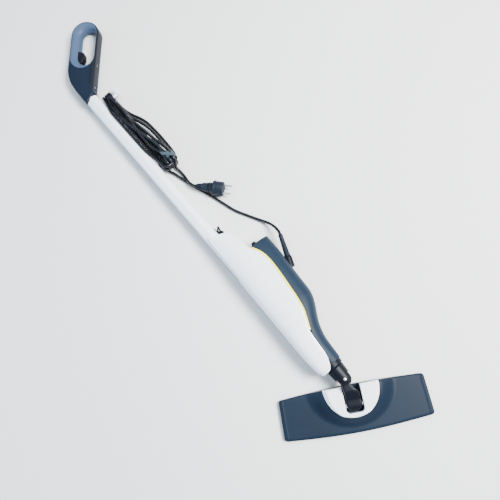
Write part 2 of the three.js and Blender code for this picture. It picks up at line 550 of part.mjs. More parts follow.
const PLATE_FLOOR = 12.6; // floor of the slot under the knuckle
const plateTop = (x, y) => HEAD_TOP + dome(x, y);
let plate = solid(headSlab(0, PLATE_BOTTOM, plateTop, 28, 10));
plate = plate.subtract(solid(slab(coverShape(GAP, 0), COVER_BOTTOM - GAP, 60, 0, 14)))
  .subtract(box(-SLOT_HALF, SLOT_HALF, -9, 60, PLATE_FLOOR, 60))
  .subtract(box(-31, 31, PIVOT.y - AXLE_R - GAP, PIVOT.y + AXLE_R + GAP, PIVOT.z, 60))
  .subtract(box(-66, 66, -4.3, 4.3, 0, 9.3));
for (const [x, y] of HEAD_SCREWS) {
  plate = plate.subtract(solid(at(cylinder("z", 2.2, 2.2, 0, 12, 12), x, y, 0)));
}
add(model, "head_plate", plate, slate);
add(model, "steam_channel", box(-65.5, 65.5, -4, 4, 5.8, 9), black);

HEAD_SCREWS.forEach(([x, y], i) => {
  const screw = turned([[0, 0.5], [3.6, 0.5], [3.6, 2.7], [1.8, 2.7], [1.8, 11], [0, 11]], 12)
    .rotateX(Math.PI / 2);
  add(model, `head_screw_${i + 1}`, at(screw, x, y, 0), steel);
});

const lipStrip = (edge, inner, outer) => {
  const points = [];
  for (let x = -148; x <= 148; x += 18.5) points.push([x, edge(x, outer)]);
  for (let x = 148; x >= -148; x -= 18.5) points.push([x, edge(x, inner)]);
  return slab(outline(points), 0.4, 5.4);
};
add(model, "front_lip", lipStrip(frontLine, 4.6, 1.6), rubber);
add(model, "back_lip", lipStrip(backLine, 4.6, 1.6), rubber);

// ---- Cord: strain relief to hank, hank, tail, plug ----------------------------------------------
// Points are [across the body, along it, height above the floor].
const HANK_TOP = 39;
const hankOutline = outline([
  [4.6, 640], [8, 627], [18, 622.5], [32, 623.5], [42, 630], [46.5, 641], [48.5, 656], [53.5, 680],
  [56, 712], [54.5, 752], [47, 785], [39, 809], [33, 836], [31.5, 870], [29, 880], [10, 880], [4.6, 874],
]);
const hookTunnel = box(-10, 80, HOOK_STATION - 8, HOOK_STATION + 6, 9, 34);
const hookBaseRoom = box(-20, 9.5, HOOK_STATION - 12, HOOK_STATION + 12, 6, 42);
const hank = solid(slab(hankOutline, 2, HANK_TOP, 3, 4)).subtract(hookTunnel).subtract(hookBaseRoom);
add(lying, "cord_hank", hank, rubber);

const STRAP = { from: 640, to: 652, x0: 2.2, x1: 50.8, z0: 0.4, z1: 40.9, thick: 1.3 };
const strap = box(STRAP.x0, STRAP.x1, STRAP.from, STRAP.to, STRAP.z0, STRAP.z1).subtract(
  box(STRAP.x0 + STRAP.thick, STRAP.x1 - STRAP.thick, STRAP.from - 5, STRAP.to + 5, STRAP.z0 + STRAP.thick,
    STRAP.z1 - STRAP.thick));
add(lying, "hank_strap", strap, strapGrey);

const PLUG_TAIL = new THREE.Vector3(36.2, 549, 18.5);
const PLUG_FACE = new THREE.Vector3(79.6, 497.8, 18.5);
const plugLength = PLUG_TAIL.distanceTo(PLUG_FACE);
const plugTurn = Math.atan2(PLUG_FACE.x - PLUG_TAIL.x, PLUG_FACE.y - PLUG_TAIL.y);
const onPlug = (geometry) => geometry.rotateZ(-plugTurn).translate(...PLUG_TAIL.toArray());
const plugProfile = [
  [0, 0], [4.8, 0], [5.6, 17], [8.2, 21], [9.5, 23], [13, 42], [18.2, 43], [18.2, 47], [17.2, 48],
  [17.2, plugLength - 2], [15.5, plugLength], [0, plugLength],
];
add(lying, "plug_body", onPlug(turned(plugProfile, 24)), rubber);
for (const side of [-1, 1]) {
  const pin = turned([[0, 0], [2.4, 0], [2.4, 17], [1.2, 18.8], [0, 18.8]], 12);
  pin.translate(side * 9.5, plugLength + GAP, 0);
  add(lying, `plug_pin_${side < 0 ? 1 : 2}`, onPlug(pin), steel);
}

const TAIL_ROUTE = [
  [31, 621, 10], [31.5, 612, 6.5], [32, 600, 5], [31.5, 589, 6.5], [30.2, 578, 10.5], [29.8, 568, 14.5],
  [31, 559, 17.5], [33.4, 552.4, 18.4], [35.8, 549.5, 18.5],
];
add(lying, "cord_tail", pipe(TAIL_ROUTE, CORD_R, 8, 8), rubber);

const LEAD_ROUTE = [
  [104.4, 325.9, 35], [107, 335, 32.5], [107.3, 350, 25], [104.6, 366, 15], [98, 382, 7.5], [90, 398, 4.2],
  [81.5, 415, 3.8], [73.5, 431, 3.8], [65.9, 448, 3.8], [58, 476, 3.8], [49.5, 506, 3.8], [41.5, 530, 3.8],
  [33.5, 553.4, 3.8], [27, 575, 3.8], [21.6, 596.6, 4.8], [17.6, 613, 8.6], [16.5, 620.6, 11],
];
add(lying, "cord_lead", pipe(LEAD_ROUTE, CORD_R, 8, 24), rubber);

export default model;
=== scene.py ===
"""Looks of an upright steam mop that lies on its side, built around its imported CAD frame."""

import json
import math

import bpy
from mathutils import Matrix, Vector

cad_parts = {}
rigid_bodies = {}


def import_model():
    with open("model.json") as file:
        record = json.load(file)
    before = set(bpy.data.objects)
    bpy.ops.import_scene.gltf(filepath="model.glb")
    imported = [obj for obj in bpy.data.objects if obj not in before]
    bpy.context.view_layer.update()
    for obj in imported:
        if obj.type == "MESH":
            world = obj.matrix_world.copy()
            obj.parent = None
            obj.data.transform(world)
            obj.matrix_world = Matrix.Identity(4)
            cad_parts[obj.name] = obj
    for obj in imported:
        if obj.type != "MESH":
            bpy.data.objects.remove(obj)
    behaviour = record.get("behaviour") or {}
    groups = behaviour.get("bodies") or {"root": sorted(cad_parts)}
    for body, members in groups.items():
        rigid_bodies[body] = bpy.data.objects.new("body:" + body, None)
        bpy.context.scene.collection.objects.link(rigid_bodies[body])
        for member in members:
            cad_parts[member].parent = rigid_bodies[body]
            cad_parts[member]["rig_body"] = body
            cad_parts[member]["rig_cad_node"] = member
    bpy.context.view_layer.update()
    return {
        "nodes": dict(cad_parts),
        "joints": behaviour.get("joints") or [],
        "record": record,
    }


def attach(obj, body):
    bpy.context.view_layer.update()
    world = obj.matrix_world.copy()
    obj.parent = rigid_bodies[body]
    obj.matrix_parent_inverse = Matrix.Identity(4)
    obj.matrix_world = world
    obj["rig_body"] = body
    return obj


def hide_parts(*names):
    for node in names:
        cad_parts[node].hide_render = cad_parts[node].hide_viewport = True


bl_info = {
    "name": "Steam mop",
    "version": (1, 0, 0),
    "blender": (4, 5, 0),
    "location": "3D View > Sidebar > Steam Mop",
    "description": "Adds the finished pieces of a steam mop, one operator for each group",
    "category": "Add Mesh",
}

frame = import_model()
RECORD = frame["record"]
BODY_OF = {node: body for body, nodes in RECORD["behaviour"]["bodies"].items() for node in nodes}

# ---- Places, from the frame -----------------------------------------------------------------------
# The body's own axes: across it towards the back, along it towards the handle, and up as it lies.
JOINTS = {joint["name"]: joint for joint in frame["joints"]}
ALONG = Vector(JOINTS["neck_swivel"]["axis"]).normalized()
UP = Vector(JOINTS["head_steer"]["axis"]).normalized()
ACROSS = ALONG.cross(UP)
NECK_STATION = (0.5, 40.0)  # where the swivel joint's point lies, across and along the body
MM = 0.001
WELD = 1e-5  # metres within which points are merged


def axes(across, along, up, origin):
    """A matrix from millimetres on those axes to the row frame in metres."""
    turn = Matrix((across, along, up)).transposed().to_4x4()
    return Matrix.Translation(origin) @ turn @ Matrix.Diagonal((MM, MM, MM, 1))


FOOT = Vector(JOINTS["neck_swivel"]["pos_m"]) - MM * (NECK_STATION[0] * ACROSS + NECK_STATION[1] * ALONG)
HEADING = Vector((ALONG.x, ALONG.y, 0)).normalized()
BODY = axes(ACROSS, ALONG, UP, FOOT)
LYING = axes(Vector((HEADING.y, -HEADING.x, 0)), HEADING, Vector((0, 0, 1)), Vector((FOOT.x, FOOT.y, 0)))
ROW = Matrix.Diagonal((MM, MM, MM, 1))

# ---- Outlines of the casing, [station along the body, value], in millimetres ----------------------
FRONT_EDGE = [
    (38, -29.5), (46, -33), (60, -35.5), (100, -37), (165, -36), (245, -34.2), (300, -33.4), (424, -33.2),
]
BACK_EDGE = [
    (38, 22), (46, 24), (62, 25.5), (92, 28.5), (121, 37), (140, 47), (158, 58), (174, 66), (190, 70.5),
    (224, 73), (264, 76.2), (300, 79), (340, 80), (360, 72), (380, 58), (400, 38), (424, 5),
]
HALF_THICK = [
    (38, 23), (60, 27), (100, 33), (150, 37.2), (200, 38), (250, 38), (300, 36), (340, 33), (380, 27), (424, 20.2),
]
SPLIT_EDGE = [
    (51, -0.6), (70, 5.5), (101, 8.6), (125, 11.8), (145, 20.5), (166, 29.4), (190, 34.6), (218, 38.5),
    (245, 42), (271, 44.7), (290, 45.6), (306, 44.8), (322, 40.5), (337, 33.5),
]
NOSE_EDGE = [
    (350, 30.5), (362, 28), (374, 26.2), (386, 25), (394, 23.5), (401, 20.5), (405.5, 15), (408.5, 8),
    (411, 2), (421, -20), (424, -21),
]
TOE_EDGE = [(36, -29), (37.2, -20), (39, -10)]
CASE_POWER = 2.7
TRIM_START = 125
TRIM_END = 337
TRIM_WIDTH = 3.6
SEAT = 339.5

TUBE_AXIS = -15
LOOP_TILT = math.radians(42)
LOOP_FOOT = (16, 979.3)
LOOP_HALF = 36
LOOP_STRAIGHT = 96.5
INSERT_HALF = 32.4
INSERT_END = 129


def smooth(t):
    """Eased step from 0 to 1."""
    t = min(1.0, max(0.0, t))
    return t * t * (3 - 2 * t)


def read(table, y):
    """The value at a station, on a monotone cubic through the table's points."""
    if y <= table[0][0]:
        return table[0][1]
    if y >= table[-1][0]:
        return table[-1][1]
    slopes = [(b[1] - a[1]) / (b[0] - a[0]) for a, b in zip(table, table[1:])]
    i = next(k for k in range(len(slopes)) if y <= table[k + 1][0])

    def tangent(k):
        if k == 0:
            return slopes[0]
        if k == len(slopes):
            return slopes[-1]
        before, after = slopes[k - 1], slopes[k]
        return 0.0 if before * after <= 0 else 2 * before * after / (before + after)

    (y0, v0), (y1, v1) = table[i], table[i + 1]
    width = y1 - y0
    t = (y - y0) / width
    return (
        (1 + 2 * t) * (1 - t) ** 2 * v0
        + t * (1 - t) ** 2 * width * tangent(i)
        + t * t * (3 - 2 * t) * v1
        + t * t * (t - 1) * width * tangent(i + 1)
    )


def blend_list(stops, t):
    """Reads [(t, value), ...] in straight steps."""
    for (t0, v0), (t1, v1) in zip(stops, stops[1:]):
        if t <= t1:
            return v0 + (v1 - v0) * (t - t0) / (t1 - t0)
    return stops[-1][1]


def case_point(y, theta, proud=0.0):
    """Point of the casing's skin at station y. theta 0 is the back edge, a right angle the upper side."""
    front, back = read(FRONT_EDGE, y) - proud, read(BACK_EDGE, y) + proud
    high = read(HALF_THICK, y) + proud
    c, s = math.cos(theta), math.sin(theta)
    grow = 2 / CASE_POWER
    x = (front + back) / 2 + math.copysign(abs(c) ** grow, c) * (back - front) / 2
    return Vector((x, y, math.copysign(abs(s) ** grow, s) * high))


def case_angle(y, x):
    """The angle at which the casing's upper skin has that place across."""
    front, back = read(FRONT_EDGE, y), read(BACK_EDGE, y)
    u = (x - (front + back) / 2) / ((back - front) / 2)
    u = min(1.0, max(-1.0, u))
    return math.acos(math.copysign(abs(u) ** (CASE_POWER / 2), u))


def loop(u, v):
    """Point of the handle loop: u runs up the loop, v across it towards the back."""
    return (
        LOOP_FOOT[0] + u * math.sin(LOOP_TILT) + v * math.cos(LOOP_TILT),
        LOOP_FOOT[1] + u * math.cos(LOOP_TILT) - v * math.sin(LOOP_TILT),
    )


def stadium(u0, u1, v0, v1, count):
    """Points round a long hole with round ends, the same number on each of its four parts."""
    radius, middle, part = (v1 - v0) / 2, (v0 + v1) / 2, count // 4
    low, high = u0 + radius, u1 - radius
    steps = [k / part for k in range(part)]
    turns = [(radius * math.sin(math.pi * t), radius * math.cos(math.pi * t)) for t in steps]
    return (
        [(low + (high - low) * t, v0) for t in steps]
        + [(high + sine, middle - cosine) for sine, cosine in turns]
        + [(high - (high - low) * t, v1) for t in steps]
        + [(low - sine, middle + cosine) for sine, cosine in turns]
    )


def frame_along(place, foot, head):
    """A frame inside another, at foot, whose along axis points to head."""
    direction = (head - foot).normalized()
    side = Vector((direction.y, -direction.x, 0))
    turn = Matrix((side, direction, Vector((0, 0, 1)))).transposed().to_4x4()
    return place @ Matrix.Translation(foot) @ turn


# ---- Modelling helpers ----------------------------------------------------------------------------
def alone(piece):
    """Selects one piece only, and makes it active."""
    if bpy.context.object and bpy.context.object.mode != "OBJECT":
        bpy.ops.object.mode_set(mode="OBJECT")
    bpy.ops.object.select_all(action="DESELECT")
    piece.select_set(True)
    bpy.context.view_layer.objects.active = piece
    return piece


def named(name):
    """Names the newest piece and its mesh."""
    piece = bpy.context.object
    piece.name = name
    piece.data.name = name
    return piece


def edit(piece, action):
    """Runs an action in edit mode with the whole mesh selected."""
    alone(piece)
    bpy.ops.object.mode_set(mode="EDIT")
    bpy.ops.mesh.select_mode(type="VERT")
    bpy.ops.mesh.select_all(action="SELECT")
    action()
    bpy.ops.object.mode_set(mode="OBJECT")
    return piece


def weld(piece, outward=True):
    """Merges doubled points, and turns the faces outward unless told not to."""

    def action():
        bpy.ops.mesh.remove_doubles(threshold=WELD)
        if outward:
            bpy.ops.mesh.normals_make_consistent(inside=False)

    return edit(piece, action)


def finish_mesh(piece, kind, **settings):
    """Adds a modifier, sets it and applies it."""
    alone(piece)
    modifier = piece.modifiers.new(kind.title(), kind)
    for key, value in settings.items():
        setattr(modifier, key, value)
    bpy.ops.object.modifier_apply(modifier=modifier.name)
    return piece


def round_edges(piece, width, segments, degrees):
    """Bevels the edges sharper than that angle. The width is in millimetres."""
    return finish_mesh(
        piece, "BEVEL", width=width * MM, segments=segments, limit_method="ANGLE",
        angle_limit=math.radians(degrees), use_clamp_overlap=True,
    )


def soften(piece, degrees):
    """Shades the piece smooth, apart from edges sharper than that angle."""
    alone(piece)
    bpy.ops.object.shade_smooth_by_angle(angle=math.radians(degrees))
    return piece


def bent_grid(name, columns, rows, shape, place, outward=True):
    """A grid bent into shape: shape(s, t) gives millimetres in the frame called place."""
    bpy.ops.object.select_all(action="DESELECT")
    bpy.ops.mesh.primitive_grid_add(x_subdivisions=columns, y_subdivisions=rows, size=1)
    piece = named(name)
    for vertex in piece.data.vertices:
        vertex.co = place @ Vector(shape(vertex.co.x + 0.5, vertex.co.y + 0.5))
    return weld(piece, outward=outward)


def turned(name, profile, place, sides=48):
    """A solid of revolution about the along axis. profile is (radius, along) from one pole to the other."""
    count = len(profile) - 1

    def shape(s, t):
        radius, along = profile[round(t * count)]
        angle = 2 * math.pi * s
        return radius * math.cos(angle), along, radius * math.sin(angle)

    return bent_grid(name, sides, count, shape, place)


def slab(name, outline, low, high, place, round_edge=0.0, segments=4):
    """A plate with that outline, [(x, y), ...], with its rims rounded."""
    bpy.ops.object.select_all(action="DESELECT")
    bpy.ops.mesh.primitive_circle_add(vertices=len(outline), fill_type="NGON")
    piece = named(name)
    for vertex, (x, y) in zip(piece.data.vertices, outline):
        vertex.co = place @ Vector((x, y, low))
    rise = place.to_3x3() @ Vector((0, 0, high - low))
    edit(piece, lambda: bpy.ops.mesh.extrude_region_move(TRANSFORM_OT_translate={"value": rise}))
    weld(piece)
    return round_edges(piece, round_edge, segments, 60) if round_edge else piece


def screw_recess(radius, depth, place):
    """A cutter for a screw's sunk hole, along the x axis of its place. Radius and depth in millimetres."""
    bpy.ops.object.select_all(action="DESELECT")
    bpy.ops.mesh.primitive_cylinder_add(vertices=32, radius=radius, depth=depth)
    cutter = named("screw_recess")
    cutter.data.transform(place @ Matrix.Rotation(math.pi / 2, 4, "Y"))
    return cutter


def reshape(piece, place, rule):
    """Moves each point of a mesh by a rule: rule(point) gives its new point in the frame's millimetres."""
    back = place.inverted()
    for vertex in piece.data.vertices:
        vertex.co = place @ Vector(rule(back @ vertex.co))


def cut(piece, *cutters):
    """Takes the cutters away from the piece, and removes them."""
    for cutter in cutters:
        finish_mesh(piece, "BOOLEAN", operation="DIFFERENCE", object=cutter, solver="EXACT")
        bpy.data.objects.remove(cutter)
    return piece


def copy_of(node):
    """A welded copy of a CAD node's mesh, as a new piece."""
    alone(frame["nodes"][node])
    bpy.ops.object.duplicate()
    piece = named(node + "_finished")
    piece.parent = None
    piece.matrix_world = Matrix.Identity(4)
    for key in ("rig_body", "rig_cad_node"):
        if key in piece:
            del piece[key]
    piece.data.materials.clear()
    return weld(piece, outward=False)


def moulded(node, voxel, passes):
    """A copy of a CAD node with its edges rounded as on a moulding. The voxel is in millimetres."""
    piece = copy_of(node)
    finish_mesh(piece, "REMESH", mode="VOXEL", voxel_size=voxel * MM, adaptivity=0.0)
    finish_mesh(piece, "SMOOTH", factor=0.5, iterations=passes)
    alone(piece)
    bpy.ops.object.shade_smooth()
    return piece


def bevelled(node, width):
    """A copy of a CAD node with a small bevel on its sharp edges."""
    piece = copy_of(node)
    edit(piece, lambda: bpy.ops.mesh.dissolve_limited(angle_limit=math.radians(0.5)))
    return soften(round_edges(piece, width, 2, 40), 30)


def paint(piece, finish):
    """Gives a piece or a CAD node one of the mop's finishes."""
    piece.data.materials.clear()
    piece.data.materials.append(FINISHES[finish])


def settle(piece, finish, *nodes):
    """Gives a piece its finish, its body and the CAD nodes that it stands for."""
    paint(piece, finish)
    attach(piece, BODY_OF[nodes[0]])
    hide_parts(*nodes)
    return piece


# ---- Shader maths ---------------------------------------------------------------------------------
def add_node(tree, kind, settings=None, sockets=None):
    """A node with its settings, then the values or links of its sockets, by name or number."""
    node = tree.nodes.new(kind)
    for key, value in (settings or {}).items():
        setattr(node, key, value)
    for key, value in (sockets or {}).items():
        value = value.socket if isinstance(value, Value) else value
        if isinstance(value, bpy.types.NodeSocket):
            tree.links.new(value, node.inputs[key])
        else:
            node.inputs[key].default_value = value
    return node


class Value:
    """One socket of a material's node tree, with arithmetic."""

    def __init__(self, tree, socket):
        self.tree = tree
        self.socket = socket

    def maths(self, operation, first, second):
        node = add_node(self.tree, "ShaderNodeMath", {"operation": operation}, {0: first, 1: second})
        return Value(self.tree, node.outputs[0])

    def __add__(self, other):
        return self.maths("ADD", self, other)

    __radd__ = __add__

    def __sub__(self, other):
        return self.maths("SUBTRACT", self, other)

    def __rsub__(self, other):
        return self.maths("SUBTRACT", other, self)

    def __mul__(self, other):
        return self.maths("MULTIPLY", self, other)

    __rmul__ = __mul__

    def above(self, low, high):
        """0 below low, 1 above high, eased between them."""
        sockets = {"Value": self, "From Min": low, "From Max": high}
        node = add_node(self.tree, "ShaderNodeMapRange", {"interpolation_type": "SMOOTHSTEP"}, sockets)
        return Value(self.tree, node.outputs["Result"])


class Finish:
    """A material under construction."""

    def __init__(self, name, colour, roughness, metallic=0.0, coat=0.0, specular=0.5):
        self.material = bpy.data.materials.new(name)
        self.material.use_nodes = True
        self.tree = self.material.node_tree
        self.shader = self.tree.nodes["Principled BSDF"]
        self.colour = (*colour, 1.0)
        self.shader.inputs["Base Color"].default_value = self.colour
        self.shader.inputs["Roughness"].default_value = roughness
        self.shader.inputs["Metallic"].default_value = metallic
        self.shader.inputs["Coat Weight"].default_value = coat
        self.shader.inputs["Coat Roughness"].default_value = 0.12
        self.shader.inputs["Specular IOR Level"].default_value = specular
        self.place = self.node("ShaderNodeTexCoord").outputs["Object"]

    def node(self, kind, settings=None, **sockets):
        return add_node(self.tree, kind, settings, {key.replace("_", " "): sockets[key] for key in sockets})

    def stretched(self, sizes, turn=0.0):
        """Object coordinates counted in grains of those sizes, in millimetres."""
        scale = [1 / (size * MM) for size in sizes]
        return self.node("ShaderNodeMapping", Vector=self.place, Scale=scale, Rotation=(0, 0, turn)).outputs[0]

    def noise(self, sizes, detail=2.0, turn=0.0):
        """Cloudy variation from 0 to 1, of that size along each axis in millimetres."""
        vector = self.stretched(sizes, turn)
        node = self.node("ShaderNodeTexNoise", Vector=vector, Scale=1.0, Detail=detail, Roughness=0.55)
        return Value(self.tree, node.outputs[0])

    def cells(self, size):
        """Fine pits of that size in millimetres."""
        vector = self.stretched((size, size, size))
        node = self.node("ShaderNodeTexVoronoi", Vector=vector, Scale=1.0)
        return Value(self.tree, node.outputs["Distance"])

    def ribs(self, direction, pitch):
        """Soft ribs across one axis."""
        node = self.node(
            "ShaderNodeTexWave", {"wave_type": "BANDS", "bands_direction": direction},
            Vector=self.stretched((pitch,) * 3), Scale=0.5, Distortion=0.6, Detail=1.0,
        )
        return Value(self.tree, node.outputs["Fac"])

    def mix(self, mask, first, second):
        """A colour between two colours, each four numbers or a socket."""
        sockets = {0: mask, 6: first, 7: second}  # a Mix node's names repeat, so its sockets go by number
        return add_node(self.tree, "ShaderNodeMix", {"data_type": "RGBA"}, sockets).outputs[2]

    def feed(self, name, value):
        """Links a value or a colour to one of the shader's sockets."""
        socket = value.socket if isinstance(value, Value) else value
        self.tree.links.new(socket, self.shader.inputs[name])

    def relief(self, height, depth, strength=1.0):
        """Bumps of that depth in millimetres."""
        bump = self.node("ShaderNodeBump", Height=height, Strength=strength, Distance=depth * MM)
        self.tree.links.new(bump.outputs[0], self.shader.inputs["Normal"])


def shade(colour, factor):
    """A lighter or darker tone of a colour."""
    return (*(min(1.0, channel * factor) for channel in colour[:3]), 1.0)


def moulded_plastic(name, colour, roughness, grain=0.7, depth=0.05, scuffs=0.25, coat=0.0, turn=0.0):
    """Textured plastic: fine grain, slow tone changes and light scuffs along one direction."""
    finish = Finish(name, colour, roughness, coat=coat, specular=0.12)
    tone = finish.noise((60, 60, 60), 3)
    rub = finish.noise((40, 2.5, 12), 4, turn).above(0.56, 0.78) * scuffs
    mottled = finish.mix(tone, shade(finish.colour, 0.86), shade(finish.colour, 1.16))
    finish.feed("Base Color", finish.mix(rub, mottled, shade(finish.colour, 1.9)))
    finish.feed("Roughness", tone * 0.10 + rub * 0.18 + (roughness - 0.06))
    finish.relief(finish.cells(grain), depth, 0.35)
    return finish.material


def gloss_plastic(name, colour, roughness, coat):
    """Smooth bright plastic with a faint ripple, handling marks and a little settled dust."""
    finish = Finish(name, colour, roughness, coat=coat)
    tone = finish.noise((90, 90, 90), 2)
    marks = finish.noise((9, 9, 9), 5).above(0.60, 0.80)
    specks = finish.noise((1.6, 1.6, 1.6), 1).above(0.74, 0.80)
    clean = finish.mix(tone, shade(finish.colour, 0.965), shade(finish.colour, 1.02))
    finish.feed("Base Color", finish.mix(specks * 0.25, clean, (0.45, 0.43, 0.40, 1.0)))
    finish.feed("Roughness", marks * 0.12 + tone * 0.05 + roughness)
    finish.relief(finish.noise((14, 14, 14), 2), 0.10, 0.2)
    return finish.material


def brushed_metal(name, colour, roughness):
    """Metal with fine lines along the row."""
    finish = Finish(name, colour, roughness, metallic=1.0)
    lines = finish.noise((0.25, 6, 0.25), 3)
    finish.feed("Base Color", finish.mix(lines, shade(finish.colour, 0.82), shade(finish.colour, 1.1)))
    finish.feed("Roughness", lines * 0.22 + (roughness - 0.08))
    finish.relief(lines, 0.02, 0.4)
    return finish.material


def cord_jacket(name, colour):
    """Black vinyl jacket of a mains lead, slightly uneven, with dusty patches."""
    finish = Finish(name, colour, 0.30, specular=0.28)
    dust = finish.noise((22, 22, 22), 4).above(0.52, 0.74)
    finish.feed("Base Color", finish.mix(dust, finish.colour, shade(finish.colour, 2.6)))
    finish.feed("Roughness", dust * 0.2 + 0.24)
    finish.relief(finish.noise((2.5, 2.5, 2.5), 3), 0.08, 0.35)
    return finish.material


def soft_rubber(name, colour):
    """Dull rubber with a fine grain."""
    finish = Finish(name, colour, 0.78)
    tone = finish.noise((12, 12, 12), 4)
    finish.feed("Base Color", finish.mix(tone, shade(finish.colour, 0.8), shade(finish.colour, 1.5)))
    finish.feed("Roughness", tone * 0.16 + 0.68)
    finish.relief(finish.cells(0.5), 0.05, 0.4)
    return finish.material


def woven_band(name, colour, pitch=1.1):
    """Woven band: crossing ribs, with lint and worn threads."""
    finish = Finish(name, colour, 0.86)
    weave = finish.ribs("X", pitch) * 0.5 + finish.ribs("Y", pitch) * 0.5
    lint = finish.noise((3, 3, 3), 5).above(0.55, 0.8)
    base = finish.mix(weave, shade(finish.colour, 0.6), shade(finish.colour, 1.25))
    finish.feed("Base Color", finish.mix(lint * 0.5, base, shade(finish.colour, 2.0)))
    finish.feed("Roughness", weave * 0.1 + 0.82)
    finish.relief(weave, 0.25, 0.7)
    return finish.material


def circuit_laminate(name, colour):
    """Green laminate with lighter tracks."""
    finish = Finish(name, colour, 0.4)
    tracks = finish.node(
        "ShaderNodeTexBrick", {"offset": 0.5}, Vector=finish.stretched((9, 9, 9)), Scale=1.0, Mortar_Size=0.06,
    )
    lines = Value(finish.tree, tracks.outputs["Fac"])
    finish.feed("Base Color", finish.mix(lines, finish.colour, shade(finish.colour, 2.4)))
    finish.feed("Roughness", 0.42 - lines * 0.1)
    finish.relief(lines, 0.04, 0.5)
    return finish.material


FINISHES = {}


def make_finishes(colours):
    """Every finish of the mop, by name."""
    FINISHES.update(
        white=gloss_plastic("white_gloss_plastic", colours.white, 0.24, 0.35),
        slate=moulded_plastic("slate_moulded_plastic", colours.slate, 0.48, turn=math.radians(29)),
        plate=moulded_plastic("slate_head_plastic", colours.plate, 0.50, grain=0.9, scuffs=0.35),
        handle=moulded_plastic("dark_slate_handle_plastic", colours.handle, 0.46, scuffs=0.12),
        handle_back=moulded_plastic("near_black_handle_plastic", colours.handle_back, 0.42, scuffs=0.12),
        grip=moulded_plastic("blue_grey_grip_plastic", colours.grip, 0.42, grain=0.5, depth=0.03, scuffs=0.08),
        black=moulded_plastic("black_plastic", colours.black, 0.40, depth=0.03, scuffs=0.12),
        relief=moulded_plastic("strain_relief_vinyl", colours.relief, 0.50, scuffs=0.1),
        yellow=gloss_plastic("yellow_trim_plastic", colours.yellow, 0.34, 0.1),
        steel=brushed_metal("brushed_steel", (0.62, 0.63, 0.65), 0.34),
        cord=cord_jacket("black_cord_jacket", colours.cord),
        rubber=soft_rubber("soft_rubber", (0.022, 0.023, 0.025)),
        strap=woven_band("woven_strap", colours.strap),
        pad=woven_band("hook_pad_pile", (0.05, 0.05, 0.055), 1.6),
        board=circuit_laminate("circuit_laminate", (0.03, 0.16, 0.07)),
    )


# ---- Settings -------------------------------------------------------------------------------------
def colour_setting(name, description, default):
    """A colour that the user may change."""
    return bpy.props.FloatVectorProperty(
        name=name, description=description, default=default, subtype="COLOR", size=3, min=0, max=1
    )


class MopColours(bpy.types.PropertyGroup):
    """Colours of the mop's finishes."""

    white: colour_setting("White", "Front shell, tube and head cover", (0.84, 0.89, 0.95))
    slate: colour_setting("Slate", "Rear housing", (0.0072, 0.0165, 0.030))
    plate: colour_setting("Head plate", "Top of the mop head", (0.0052, 0.0115, 0.0225))
    handle: colour_setting("Handle", "Front shell of the handle", (0.0050, 0.0100, 0.0210))
    handle_back: colour_setting("Handle back", "Back shell of the handle", (0.005, 0.007, 0.012))
    grip: colour_setting("Grip", "Insert of the handle loop", (0.047, 0.074, 0.130))
    black: colour_setting("Black", "Neck, knuckle, trigger and latch", (0.0035, 0.0045, 0.0085))
    relief: colour_setting("Strain relief", "Sleeve where the lead leaves", (0.007, 0.0115, 0.020))
    yellow: colour_setting("Yellow", "Trim line between the shells", (0.95, 0.84, 0.012))
    cord: colour_setting("Cord", "Jacket of the mains lead", (0.0015, 0.0022, 0.0045))
    strap: colour_setting("Strap", "Band that ties the lead", (0.030, 0.050, 0.068))


class MopSizes(bpy.types.PropertyGroup):
    """Sizes of the mop's finished pieces."""

    cord_diameter: bpy.props.FloatProperty(
        name="Cord diameter", description="Outer diameter of the mains lead", default=0.007, unit="LENGTH"
    )
    shell_wall: bpy.props.FloatProperty(
        name="Shell wall", description="Wall of the casing's shells", default=0.0024, unit="LENGTH"
    )
    handle_round: bpy.props.FloatProperty(
        name="Handle rounding", description="Rounding of the handle's rims", default=0.006, unit="LENGTH"
    )


# ---- Stage ----------------------------------------------------------------------------------------
CAMERA_PLACE = Vector((-0.0637, 0.1494, 1.1069))
CAMERA_AXES = (
    Vector((0.97359, -0.19619, -0.11678)),
    Vector((0.21524, 0.95928, 0.18291)),
    Vector((0.07614, -0.20321, 0.97617)),
)
CAMERA_LENS = 35.53
AIM = Vector((-0.15, 0.45, 0))
LIGHTS = (  # name, place, size in metres, power in watts, colour
    ("key_light", (1.25, 0.25, 2.2), 0.9, 265, (1.0, 0.99, 0.975)),
    ("fill_light", (-2.3, 0.1, 0.9), 1.6, 42, (0.42, 0.68, 1.0)),
    ("top_light", (-0.2, 1.6, 2.6), 2.0, 50, (0.92, 0.96, 1.0)),
)


